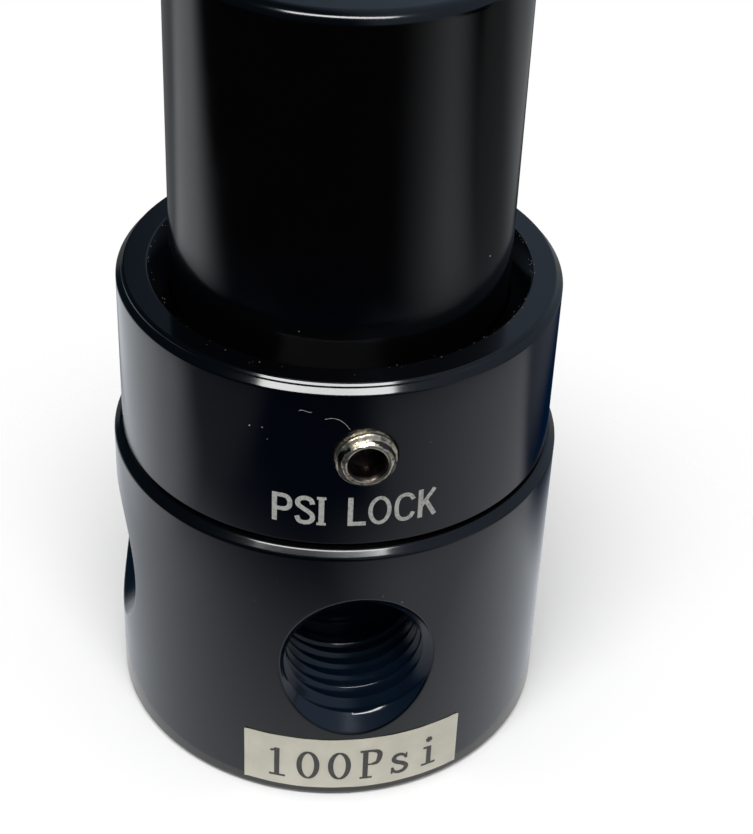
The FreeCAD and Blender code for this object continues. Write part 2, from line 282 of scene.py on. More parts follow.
# Nitrile rubber, moulded: matt black with a slight bloom.
NITRILE_RUBBER = MottledFinish("#17181A", "#232427", roughness=(0.45, 0.65), metallic=0.0, blotch=1.4,
                               stained=(0.35, 0.65), grain=0.12, depth=0.004, ior=1.52)
# Nylon, moulded: milky and smooth.
MOULDED_NYLON = MottledFinish("#E6E2D6", "#D8D3C4", roughness=(0.35, 0.5), metallic=0.0, blotch=1.8,
                              stained=(0.35, 0.65), grain=0.2, depth=0.004, ior=1.53)
# Coated paper: cream, with a fine felt and a dull gloss.
COATED_PAPER = MottledFinish("#B9B6A8", "#B0AD9F", roughness=(0.42, 0.6), metallic=0.0, blotch=2.4,
                             stained=(0.3, 0.7), grain=0.09, depth=0.004, ior=1.47)
# Ribbon print on paper: a dry, slightly broken black.
RIBBON_PRINT = MottledFinish("#343231", "#524F4B", roughness=(0.45, 0.65), metallic=0.0, blotch=0.14,
                             stained=(0.45, 0.7), grain=0.07, depth=0.003)
# Laser marking that bleaches the dye: light grey, dull and slightly uneven.
LASER_MARK = MottledFinish("#9F9F9A", "#80807D", roughness=(0.5, 0.7), metallic=0.0, blotch=0.22,
                           stained=(0.45, 0.65), grain=0.07, depth=0.004, ior=1.55)
# House dust and cotton lint: pale and soft.
HOUSE_DUST = MottledFinish("#A5A29B", "#7F7C77", roughness=(0.8, 0.95), metallic=0.0, blotch=0.1,
                           stained=(0.4, 0.6), grain=0.05, depth=0.01, ior=1.45)


class Surface:
    """A mesh being made from grids of points, joined where their edges meet."""

    def __init__(self) -> None:
        """Start with no points."""
        self.points: list[Array] = []
        self.faces: list[tuple[int, ...]] = []
        self.count = 0

    def grid(self, rows: Array, closed: bool = False, keep: Optional[Array] = None) -> None:
        """Add a sheet of four-sided faces.

        Args:
            rows: Points in millimetres, rows by columns by three.
            closed: Whether the last column joins the first.
            keep: For each cell, whether it gets a face.
        """
        height, width = rows.shape[:2]
        index = np.arange(height * width).reshape(height, width) + self.count
        self.points.append(rows.reshape(-1, 3))
        self.count += height * width
        ahead = np.roll(index, -1, 1) if closed else index[:, 1:]
        here = index if closed else index[:, :-1]
        cells = np.stack([here[:-1], ahead[:-1], ahead[1:], here[1:]], -1)
        chosen = cells.reshape(-1, 4) if keep is None else cells[keep]
        self.faces.extend(map(tuple, chosen.tolist()))

    def build(self, name: str, material: bpy.types.Material, crease: float = 38.0) -> bpy.types.Object:
        """Join the sheets and make the object.

        Args:
            name: The object's name.
            material: Its finish.
            crease: Edges that turn by more degrees than this stay crisp.

        Returns:
            The object, in the scene.
        """
        mesh = bpy.data.meshes.new(name)
        mesh.from_pydata((np.concatenate(self.points) * MM).tolist(), [], self.faces)
        work = bmesh.new()
        work.from_mesh(mesh)
        bmesh.ops.remove_doubles(work, verts=work.verts, dist=0.002 * MM)
        bmesh.ops.recalc_face_normals(work, faces=work.faces)
        work.to_mesh(mesh)
        work.free()
        return place_mesh(name, mesh, material, crease)


def place_mesh(name: str, mesh: bpy.types.Mesh, material: bpy.types.Material,
               crease: float = 38.0) -> bpy.types.Object:
    """Put a mesh in the scene as a smooth object with crisp creases.

    Args:
        name: The object's name.
        mesh: Its mesh.
        material: Its finish.
        crease: Edges that turn by more degrees than this stay crisp.

    Returns:
        The object.
    """
    mesh.materials.clear()
    mesh.materials.append(material)
    mesh.shade_smooth()
    mesh.set_sharp_from_angle(angle=math.radians(crease))
    piece = bpy.data.objects.new(name, mesh)
    bpy.context.scene.collection.objects.link(piece)
    return piece


def register(piece: bpy.types.Object, body: str, stands_for: Sequence[str] = ()) -> None:
    """Tie a finished piece to the frame and report it.

    Args:
        piece: The object.
        body: The body it moves with.
        stands_for: CAD nodes that it replaces.
    """
    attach(piece, body)
    if stands_for:
        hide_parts(*stands_for)
    log.info("%s: %d faces, moves with %s", piece.name, len(piece.data.polygons), body)


def dress(node: str, material: bpy.types.Material) -> None:
    """Give a CAD node its finish.

    Args:
        node: The node's name.
        material: Its finish.
    """
    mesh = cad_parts[node].data
    mesh.materials.clear()
    mesh.materials.append(material)
    log.info("%s: finish %s", node, material.name)


def bend(before: Array, corner: Array, after: Array, steps: int = 4) -> list[Array]:
    """Round a corner between two points on its sides.

    Args:
        before: Where the rounding starts, or an array of such points.
        corner: The sharp corner.
        after: Where it ends.
        steps: Faces across the rounding.

    Returns:
        The points across it, both ends included.
    """
    shares = [step / steps for step in range(steps + 1)]
    return [(1 - t) ** 2 * before + 2 * t * (1 - t) * corner + t * t * after for t in shares]


def rounded(outline: Sequence[tuple[float, float, float]], margin: float = 0.06) -> Array:
    """Round the corners of a closed outline and keep its straight sides flat in shading.

    Args:
        outline: Radius, height and edge rounding at each corner.
        margin: Length of the narrow band beside each rounding.

    Returns:
        Radius and height of each point.
    """
    points: list[Array] = []
    total = len(outline)
    for place, (radius, height, edge) in enumerate(outline):
        corner = np.array([radius, height])
        if edge <= 0:
            points.append(corner)
            continue
        back = np.array(outline[place - 1][:2]) - corner
        ahead = np.array(outline[(place + 1) % total][:2]) - corner
        back_length, ahead_length = np.linalg.norm(back), np.linalg.norm(ahead)
        back, ahead = back / back_length, ahead / ahead_length
        reach = min(edge, 0.4 * back_length, 0.4 * ahead_length)
        beside = min(margin, 0.08 * min(back_length, ahead_length))
        points.append(corner + back * (reach + beside))
        points.extend(bend(corner + back * reach, corner, corner + ahead * reach))
        points.append(corner + ahead * (reach + beside))
    return np.array(points)


def revolve(profile: Array, steps: int) -> Array:
    """Turn a profile about the upright axis.

    Args:
        profile: Radius and height of each point.
        steps: Points around.

    Returns:
        Points by profile and by azimuth.
    """
    azimuth = np.radians(np.arange(steps) * 360 / steps)
    radius, height = profile[:, :1], profile[:, 1:]
    return np.stack([radius * np.sin(azimuth), -radius * np.cos(azimuth),
                     np.broadcast_to(height, (len(profile), steps))], -1)


def turned_piece(name: str, outline: Sequence[tuple[float, float, float]], steps: int,
                 material: bpy.types.Material) -> bpy.types.Object:
    """Make a piece that is turned all round.

    Args:
        name: The object's name.
        outline: Radius, height and edge rounding at each corner, closed.
        steps: Points around.
        material: Its finish.

    Returns:
        The object.
    """
    profile = rounded(outline)
    surface = Surface()
    surface.grid(revolve(np.concatenate([profile, profile[:1]]), steps), closed=True)
    return surface.build(name, material)


@dataclass(frozen=True)
class Thread:
    """A sixty degree screw thread cut into or onto a bore or shank.

    Attributes:
        pitch: From one crest to the next.
        root: Radius at the bottom of the groove, at the reference distance.
        reference: Distance along the axis where the root has that radius.
        flat: Radius that the crests are cut back to.
        taper: Change of the root's radius for each millimetre outwards.
        inside: Whether it is cut into a bore, or otherwise onto a shank.
        run_out: Length over which the groove fades at its inner end.
        inner_end: Where the groove ends.
    """

    pitch: float
    root: float
    reference: float
    flat: float
    inner_end: float
    taper: float = 0.0
    inside: bool = True
    run_out: float = 1.0

    def radius(self, angle: Array, distance: Array) -> Array:
        """Work out the surface.

        Args:
            angle: Angle about the thread's axis in radians, counter-clockwise seen from its outer end.
            distance: Distance along the axis.

        Returns:
            The radius at each place.
        """
        turn = (distance / self.pitch - angle / (2 * math.pi)) % 1.0
        slope = self.pitch / 2 * math.tan(math.radians(60))
        side = 1 if self.inside else -1
        depth = side * (self.root + self.taper * (distance - self.reference) - self.flat)
        groove = soft_limit(depth + 0.06 * slope - np.abs(2 * turn - 1) * slope, depth, 0.05)
        groove = -soft_limit(-groove, np.zeros_like(groove), 0.03)
        return self.flat + side * groove * np.clip((distance - self.inner_end) / self.run_out, 0, 1)


def soft_limit(value: Array, limit: Array, width: float) -> Array:
    """Hold a value at or below a limit, with a rounded change.

    Args:
        value: The values.
        limit: Their limit.
        width: How round the change is.

    Returns:
        The limited values.
    """
    return 0.5 * (value + limit - np.sqrt((value - limit) ** 2 + width ** 2))


@dataclass(frozen=True)
class SideFrame:
    """Directions at a hole in an upright wall."""

    azimuth: float
    height: float

    def point(self, across: Array, up: Array, outwards: Array) -> Array:
        """Place points.

        Args:
            across: To the right, seen from outside.
            up: Above the hole's axis.
            outwards: Distance from the upright axis, along the hole's axis.

        Returns:
            Points in millimetres.
        """
        turn = math.radians(self.azimuth)
        across, up, outwards = np.broadcast_arrays(across, up, outwards)
        return np.stack([across * math.cos(turn) + outwards * math.sin(turn),
                         across * math.sin(turn) - outwards * math.cos(turn),
                         self.height + up], -1)


@dataclass(frozen=True)
class Hole:
    """A round hole in a cylindrical wall.

    Attributes:
        side: Where it is.
        half: Columns of the wall's grid from its middle to the edge of its patch.
        bore: Its radius.
        flare: Width of its 45 degree mouth.
    """

    side: SideFrame
    half: int
    bore: float
    flare: float

    @property
    def angles(self) -> Array:
        """Angles of the points around it, counter-clockwise from the right."""
        return np.arange(8 * self.half) * 2 * math.pi / (8 * self.half)

    def mouth(self, wall: float) -> tuple[Array, Array]:
        """Find where the mouth meets the wall.

        Args:
            wall: The wall's radius.

        Returns:
            The mouth's radius and its distance from the upright axis, at each angle.
        """
        radius = np.full(8 * self.half, self.bore + self.flare)
        for _ in range(12):
            outwards = np.sqrt(wall ** 2 - (radius * np.cos(self.angles)) ** 2)
            radius = self.bore + np.abs(outwards - wall + self.flare)
        if self.flare == 0:
            radius = np.full(8 * self.half, self.bore)
            outwards = np.sqrt(wall ** 2 - (radius * np.cos(self.angles)) ** 2)
        return radius, outwards

    def square(self, columns: int) -> tuple[Array, Array]:
        """Walk around the patch's edge.

        Args:
            columns: Columns of the whole wall.

        Returns:
            Azimuths from the hole's own, in radians, and rows from its middle row.
        """
        side = np.arange(-self.half, self.half)
        right = np.full(2 * self.half, self.half)
        column = np.concatenate([right[self.half:], -side, -right, side, right[:self.half]])
        row = np.concatenate([side[self.half:], right, -side, -right, side[:self.half]])
        return np.radians(column * 360 / columns), row

    def patch(self, wall: float, columns: int, row_height: float, edge: float) -> list[Array]:
        """Join the wall's grid to the mouth.

        Args:
            wall: The wall's radius.
            columns: Columns of the whole wall.
            row_height: Height of the rows beside the hole.
            edge: Width left for the mouth's rounded edge.

        Returns:
            Loops of points from the patch's edge to the start of the rounding.
        """
        azimuth, row = self.square(columns)
        outer = np.stack([wall * np.sin(azimuth), row * row_height])
        radius, _ = self.mouth(wall)
        inner = (radius + edge) * np.stack([np.cos(self.angles), np.sin(self.angles)])
        loops = []
        for share in (1.0, 0.82, 0.66, 0.5, 0.36, 0.24, 0.14, 0.06, 0.0):
            across, up = inner + (outer - inner) * share
            loops.append(self.side.point(across, up, np.sqrt(wall ** 2 - across ** 2)))
        return loops

    def rim(self, wall: float, edge: float) -> list[Array]:
        """Round the mouth's edge.

        Args:
            wall: The wall's radius.
            edge: Width of the rounding on each side.

        Returns:
            Loops of points across it, from the wall inwards.
        """
        radius, outwards = self.mouth(wall)
        cosine, sine = np.cos(self.angles), np.sin(self.angles)
        outer = radius + edge
        start = self.side.point(outer * cosine, outer * sine, np.sqrt(wall ** 2 - (outer * cosine) ** 2))
        corner = self.side.point(radius * cosine, radius * sine, outwards)
        inner = radius - (edge if self.flare else 0)
        end = self.side.point(inner * cosine, inner * sine, outwards - edge)
        return bend(start, corner, end)


def wall_rows(low: float, high: float, hole: Hole, row_height: float) -> tuple[Array, int]:
    """Divide a wall's height into rows that suit its hole.

    Args:
        low: Lower edge of the wall.
        high: Upper edge.
        hole: A hole in it.
        row_height: Height of the rows beside the hole.

    Returns:
        The heights, and the number of the row at the hole's axis.
    """
    beside = hole.side.height + np.arange(-hole.half, hole.half + 1) * row_height
    below = np.array([low, low + 0.06, (low + beside[0]) / 2])
    above = np.array([(high + beside[-1]) / 2, high - 0.06, high])
    assert low < beside[0] and beside[-1] < high, "the hole's patch doesn't fit on its wall"
    return np.concatenate([below, beside, above]), len(below) + hole.half


def drilled_wall(surface: Surface, radius: float, low: float, high: float, holes: Sequence[Hole],
                 columns: int) -> float:
    """Add an upright cylindrical wall with gaps for its holes.

    Args:
        surface: Where it goes.
        radius: The wall's radius.
        low: Its lower edge.
        high: Its upper edge.
        holes: Holes at one height.
        columns: Columns around.

    Returns:
        The height of the rows beside the holes.
    """
    first = holes[0]
    row_height = radius * math.sin(math.radians(first.half * 360 / columns)) / first.half
    heights, middle = wall_rows(low, high, first, row_height)
    rows = revolve(np.stack([np.full(len(heights), radius), heights], -1), columns)
    keep = np.ones((len(heights) - 1, columns), bool)
    for hole in holes:
        centre = round(hole.side.azimuth * columns / 360)
        taken = np.arange(centre - hole.half, centre + hole.half) % columns
        keep[middle - hole.half:middle + hole.half, taken] = False
    surface.grid(rows, closed=True, keep=keep)
    return row_height


@dataclass
class PipePort:
    """A tapered pipe thread in the base, with its 45 degree mouth."""

    side: SideFrame
    wall: float
    bore: float = 5.7
    flare: float = 1.9
    floor: float = 8.0
    half: int = 25
    edge: float = 0.11
    thread_pitch: float = 1.411
    thread_root: float = 6.82
    row_phases: tuple[float, ...] = (0.0, 0.03, 0.08, 0.17, 0.27, 0.37, 0.46,
                                     0.54, 0.63, 0.73, 0.83, 0.92, 0.97)
    pocket_radius: float = 0.0
    pocket_floor: float = 0.0

    @property
    def hole(self) -> Hole:
        """The hole that the port makes in the wall."""
        return Hole(self.side, self.half, self.bore, self.flare)

    @property
    def thread(self) -> Thread:
        """The thread, a sixteenth taper on the diameter."""
        return Thread(self.thread_pitch, self.thread_root, self.wall, self.bore, self.floor + 0.6,
                      taper=1 / 32, run_out=1.6)

    def holds(self, place: Vector) -> bool:
        """Tell whether a place lies on the thread or the mouth's cone.

        Args:
            place: The place in millimetres.

        Returns:
            True inside the tapped length.
        """
        turn = math.radians(self.side.azimuth)
        outwards = place.x * math.sin(turn) - place.y * math.cos(turn)
        across = place.x * math.cos(turn) + place.y * math.sin(turn)
        reach = math.hypot(across, place.z - self.side.height)
        return (outwards > self.floor - 0.05 and reach < self.bore + self.flare
                and math.hypot(place.x, place.y) < self.wall - self.edge)

    def add_to(self, surface: Surface, columns: int, row_height: float) -> None:
        """Add the port's surfaces.

        Args:
            surface: The base's surface.
            columns: Columns of its wall.
            row_height: Height of the wall's rows beside the port.
        """
        hole = self.hole
        angles = hole.angles
        surface.grid(np.stack(hole.patch(self.wall, columns, row_height, self.edge)
                              + hole.rim(self.wall, self.edge)[1:]), closed=True)
        self.add_thread(surface, angles, hole.mouth(self.wall)[1] - self.edge)
        last = [(self.bore, self.floor), (0.0, self.floor)]
        if self.pocket_radius:
            last = [(self.bore, self.floor), (self.pocket_radius, self.floor),
                    (self.pocket_radius, self.pocket_floor), (0.0, self.pocket_floor)]
        surface.grid(np.stack([self.side.point(radius * np.cos(angles), radius * np.sin(angles), distance)
                               for radius, distance in last]), closed=True)

    def add_thread(self, surface: Surface, angles: Array, start: Array) -> None:
        """Add the mouth's cone and the thread, on rows that follow the helix so that its crests are clean.

        Args:
            surface: The base's surface.
            angles: Angles around the port's axis.
            start: Distance from the upright axis where the cone starts, at each angle.
        """
        angles = np.append(angles, 2 * math.pi)
        start = np.append(start, start[0])
        turns = range(math.floor(self.floor / self.thread_pitch) - 1,
                      math.ceil(self.wall / self.thread_pitch) + 1)
        rows = []
        for turn in turns:
            for phase in self.row_phases:
                distance = (turn + phase + angles / (2 * math.pi)) * self.thread_pitch
                distance = np.clip(distance, self.floor, start)
                cone = self.bore + distance - (self.wall - self.flare)
                radius = -soft_limit(-cone, -self.thread.radius(angles, distance), 0.04)
                rows.append(self.side.point(radius * np.cos(angles), radius * np.sin(angles), distance))
        surface.grid(np.stack(rows[::-1]))


@dataclass
class Base:
    """The base with its two pipe ports, which sit at the height of the filter in the inlet."""

    columns: int = 360
    foot_chamfer: float = 0.5
    top_chamfer: float = 0.6
    edge: float = 0.09
    plug_bore: float = 5.94
    poppet_chamber: float = 4.6
    seat_bore: float = 3.05
    seat_pocket: float = 4.25
    seat_pocket_floor: float = 20.22
    seat_proud: float = 0.4                             # the seat's reach below the chamber's roof
    gasket_gap: float = 0.05
    passage_radius: float = 1.1
    passage_edge: float = 0.2                           # metal left beside a passage
    inlet_drill: tuple[float, float] = (-5.2, 3.0)      # its middle and its length
    outlet_drill: tuple[float, float] = (19.2, 7.0)
    pocket_radius: float = 4.8
    pocket_floor: float = 6.4
    radius: float = field(init=False)
    height: float = field(init=False)
    port_height: float = field(init=False)

    def __post_init__(self) -> None:
        """Take the outer sizes from the frame."""
        low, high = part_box("base_body")
        self.radius = (high.x - low.x) / 2 / MM
        self.height = high.z / MM
        filter_low, filter_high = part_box("inlet_filter")
        self.port_height = (filter_low.z + filter_high.z) / 2 / MM

    def outline(self) -> list[tuple[float, float, float]]:
        """List the turned faces from the wall's top, over the top and down the inside to the foot.

        Returns:
            Radius, height and edge rounding at each corner.
        """
        gasket_low, gasket_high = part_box("bonnet_gasket")
        seat_low, seat_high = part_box("valve_seat")
        washer_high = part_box("plug_washer")[1]
        spigot_bore = gasket_high.x / MM + self.gasket_gap
        gasket_seat = gasket_low.z / MM
        chamber_floor = seat_high.z / MM
        chamber_roof = seat_low.z / MM + self.seat_proud
        plug_shoulder = washer_high.z / MM
        chamber = self.passage_distance + self.passage_radius + self.passage_edge
        return [
            (self.radius, self.height - self.top_chamfer, 0.16),
            (self.radius - self.top_chamfer, self.height, 0.16),
            (spigot_bore + LEAD, self.height, 0.05), (spigot_bore, self.height - LEAD, 0),
            (spigot_bore, gasket_seat, 0), (chamber, gasket_seat, 0), (chamber, chamber_floor, 0),
            (self.seat_pocket, chamber_floor, 0), (self.seat_pocket, self.seat_pocket_floor, 0),
            (self.seat_bore, self.seat_pocket_floor, 0), (self.seat_bore, chamber_roof, 0),
            (self.poppet_chamber, chamber_roof, 0), (self.poppet_chamber, plug_shoulder, 0),
            (self.plug_bore, plug_shoulder, 0), (self.plug_bore, LEAD, 0), (self.plug_bore + LEAD, 0, 0.05),
            (self.radius - self.foot_chamfer, 0, self.edge), (self.radius, self.foot_chamfer, self.edge),
        ]

    @property
    def passage_distance(self) -> float:
        """Distance of the outlet passage from the upright axis."""
        return PipePort.floor + self.passage_radius + self.passage_edge

    def build(self, material: bpy.types.Material, thread: bpy.types.Material) -> None:
        """Make the base, cut its passages and give its ports' threads and cones the duller finish, whose
        navy is painted blue light.

        Args:
            material: The black anodised finish.
            thread: The same over a tapped thread, navy with painted blue light.
        """
        surface = Surface()
        corners = self.outline()
        profile = rounded(corners + [(self.radius, self.height / 2, 0)])[:-1]
        surface.grid(revolve(profile, self.columns), closed=True)
        ports = [
            PipePort(SideFrame(0, self.port_height), self.radius),
            PipePort(SideFrame(-90, self.port_height), self.radius,
                     pocket_radius=self.pocket_radius, pocket_floor=self.pocket_floor),
        ]
        row_height = drilled_wall(surface, self.radius, profile[-1, 1], profile[0, 1],
                                  [port.hole for port in ports], self.columns)
        for port in ports:
            port.add_to(surface, self.columns, row_height)
        body = surface.build("regulator_base", material)
        self.cut_passages(body)
        # The ports' threads and cones take the navy finish: painted blue light in the ports.
        body.data.materials.append(thread)
        for face in body.data.polygons:
            if any(port.holds(face.center / MM) for port in ports):
                face.material_index = 1
        register(body, "base", ["base_body"])

    def cut_passages(self, body: bpy.types.Object) -> None:
        """Drill the two gas passages.

        Args:
            body: The base.
        """
        inlet_height = self.port_height - self.pocket_radius + self.passage_radius + self.passage_edge
        inlet_middle, inlet_length = self.inlet_drill
        outlet_middle, outlet_length = self.outlet_drill
        drills = bmesh.new()
        for centre, turn, length in (
            (Vector((inlet_middle, 0, inlet_height)), Matrix.Rotation(math.pi / 2, 4, "Y"), inlet_length),
            (Vector((0, -self.passage_distance, outlet_middle)), Matrix.Identity(4), outlet_length),
        ):
            bmesh.ops.create_cone(drills, cap_ends=True, segments=48, radius1=self.passage_radius * MM,
                                  radius2=self.passage_radius * MM, depth=length * MM,
                                  matrix=Matrix.Translation(centre * MM) @ turn)
        mesh = bpy.data.meshes.new("passage_drills")
        drills.to_mesh(mesh)
        drills.free()
        tool = bpy.data.objects.new("passage_drills", mesh)
        bpy.context.scene.collection.objects.link(tool)
        cut = body.modifiers.new("passages", "BOOLEAN")
        cut.object = tool
        cut.solver = "EXACT"
        cut.operation = "DIFFERENCE"
        graph = bpy.context.evaluated_depsgraph_get()
        drilled = bpy.data.meshes.new_from_object(body.evaluated_get(graph))
        body.modifiers.clear()
        body.data = drilled
        bpy.data.objects.remove(tool)
        while len(drilled.materials) > 1:
            drilled.materials.pop()
        drilled.shade_smooth()
        drilled.set_sharp_from_angle(angle=math.radians(38))


@dataclass
class Ring:
    """The ring that screws into the base and carries the lock screw and the knob.

    Its neck is higher than its rim, so its own box doesn't give the rim's height.
    """

    top: float = 43.05
    columns: int = 360
    half: int = 14
    chamfer: float = 0.45
    step: float = 0.2
    land: float = 0.1                   # upright band between the two chamfers of the rim
    running_gap: float = 0.06
    ceiling_room: float = 1.2
    mouth_flare: float = 1.75
    edge: float = 0.07
    neck_bore: float = 8.8
    neck_radius: float = 10.4
    neck_top: float = 45.94
    screw_hole: float = 2.5
    screw_pitch: float = 0.8
    screw_rows: int = 60
    web: float = 1.8
    radius: float = field(init=False)
    foot: float = field(init=False)
    screw_height: float = field(init=False)

    def __post_init__(self) -> None:
        """Take the outer sizes from the frame."""
        low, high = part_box("bonnet_ring")
        self.radius = (high.x - low.x) / 2 / MM
        self.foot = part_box("base_body")[1].z / MM
        pad_low, pad_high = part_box("lock_pad")
        self.screw_height = (pad_low.z + pad_high.z) / 2 / MM

    def build(self, material: bpy.types.Material) -> None:
        """Make the ring.

        Args:
            material: The black anodised finish.
        """
        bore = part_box("adjusting_knob")[1].x / MM + self.running_gap
        gasket_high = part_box("bonnet_gasket")[1]
        piston_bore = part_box("piston")[1].x / MM + self.running_gap
        spigot = gasket_high.x / MM
        spigot_end = gasket_high.z / MM
        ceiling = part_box("spring_washer")[0].z / MM + self.ceiling_room
        pocket_floor = ceiling + self.web
        outer_low = self.foot + self.chamfer
        outer_high = self.top - self.chamfer - self.step - self.land
        inner = rounded([
            (bore, self.top - self.mouth_flare, 0.1), (bore + self.mouth_flare, self.top, self.edge),
            (self.radius - self.chamfer - self.step, self.top, self.edge),
            (self.radius - self.chamfer, self.top - self.step, 0.03),
            (self.radius - self.chamfer, self.top - self.step - self.land, 0.03),
            (self.radius, outer_high, 0.08), (self.radius, (outer_low + outer_high) / 2, 0),
        ])[:-1]
        outer = rounded([
            (self.radius, (outer_low + outer_high) / 2, 0), (self.radius, outer_low, self.edge),
            (self.radius - self.chamfer, self.foot, 0.05), (spigot, self.foot, 0),
            (spigot, spigot_end + LEAD, 0), (spigot - LEAD, spigot_end, 0),
            (piston_bore + LEAD, spigot_end, 0), (piston_bore, spigot_end + LEAD, 0),
            (piston_bore, ceiling, 0), (self.neck_bore, ceiling, 0),
            (self.neck_bore, self.neck_top, 0), (self.neck_radius - LEAD, self.neck_top, 0),
            (self.neck_radius, self.neck_top - LEAD, 0), (self.neck_radius, pocket_floor, 0),
            (bore, pocket_floor, 0), (bore, (pocket_floor + self.top) / 2, 0),
        ])[1:-1]
        surface = Surface()
        surface.grid(revolve(inner, self.columns), closed=True)
        surface.grid(revolve(outer, self.columns), closed=True)
        hole = Hole(SideFrame(0, self.screw_height), self.half, self.screw_hole, 0.0)
        outside_row = drilled_wall(surface, self.radius, outer[0, 1], inner[-1, 1], [hole], self.columns)
        inside_row = drilled_wall(surface, bore, outer[-1, 1], inner[0, 1], [hole], self.columns)
        loops = hole.patch(self.radius, self.columns, outside_row, 0.08)
        loops += hole.rim(self.radius, 0.08)[1:]
        inner_loops = hole.patch(bore, self.columns, inside_row, 0.0)
        start = hole.mouth(self.radius)[1] - 0.08
        end = hole.mouth(bore)[1]
        thread = Thread(self.screw_pitch, self.screw_hole + 0.42, self.radius, self.screw_hole, bore + 0.8)
        for share in np.linspace(0, 1, self.screw_rows)[1:-1]:
            distance = start + (end - start) * share
            radius = thread.radius(hole.angles, distance)
            fade = min(1.0, 12 * share, 12 * (1 - share))
            radius = self.screw_hole + (radius - self.screw_hole) * fade
            loops.append(hole.side.point(radius * np.cos(hole.angles), radius * np.sin(hole.angles),
                                         distance))
        loops += inner_loops[::-1]
        surface.grid(np.stack(loops), closed=True)
        register(surface.build("regulator_ring", material), "base", ["bonnet_ring"])


@dataclass
class Knob:
    """The long smooth adjusting knob, a deep cup bored plain to its thread's radius."""

    steps: int = 288
    chamfer: float = 0.4
    edge: float = 0.12
    crown: float = 4.0
    crown_edge: float = 0.95
    spring_room: float = 8.8
    thread_radius: float = 10.45
    thread_top: float = 50.0

    def build(self, material: bpy.types.Material) -> None:
        """Make the knob.

        Args:
            material: The black anodised finish.
        """
        low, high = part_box("adjusting_knob")
        radius, foot, top = high.x / MM, low.z / MM, high.z / MM
        outline = [
            (0, top, 0), (0, top - self.crown, 0), (self.spring_room, top - self.crown, 0),
            (self.spring_room, self.thread_top, 0), (self.thread_radius, self.thread_top, 0),
            (self.thread_radius, foot + LEAD, 0), (self.thread_radius + LEAD, foot, 0.05),
            (radius - self.chamfer, foot, self.edge), (radius, foot + self.chamfer, self.edge),
            (radius, top, self.crown_edge),
        ]
        knob = turned_piece("knob", outline, self.steps, material)
        register(knob, "knob", ["adjusting_knob"])


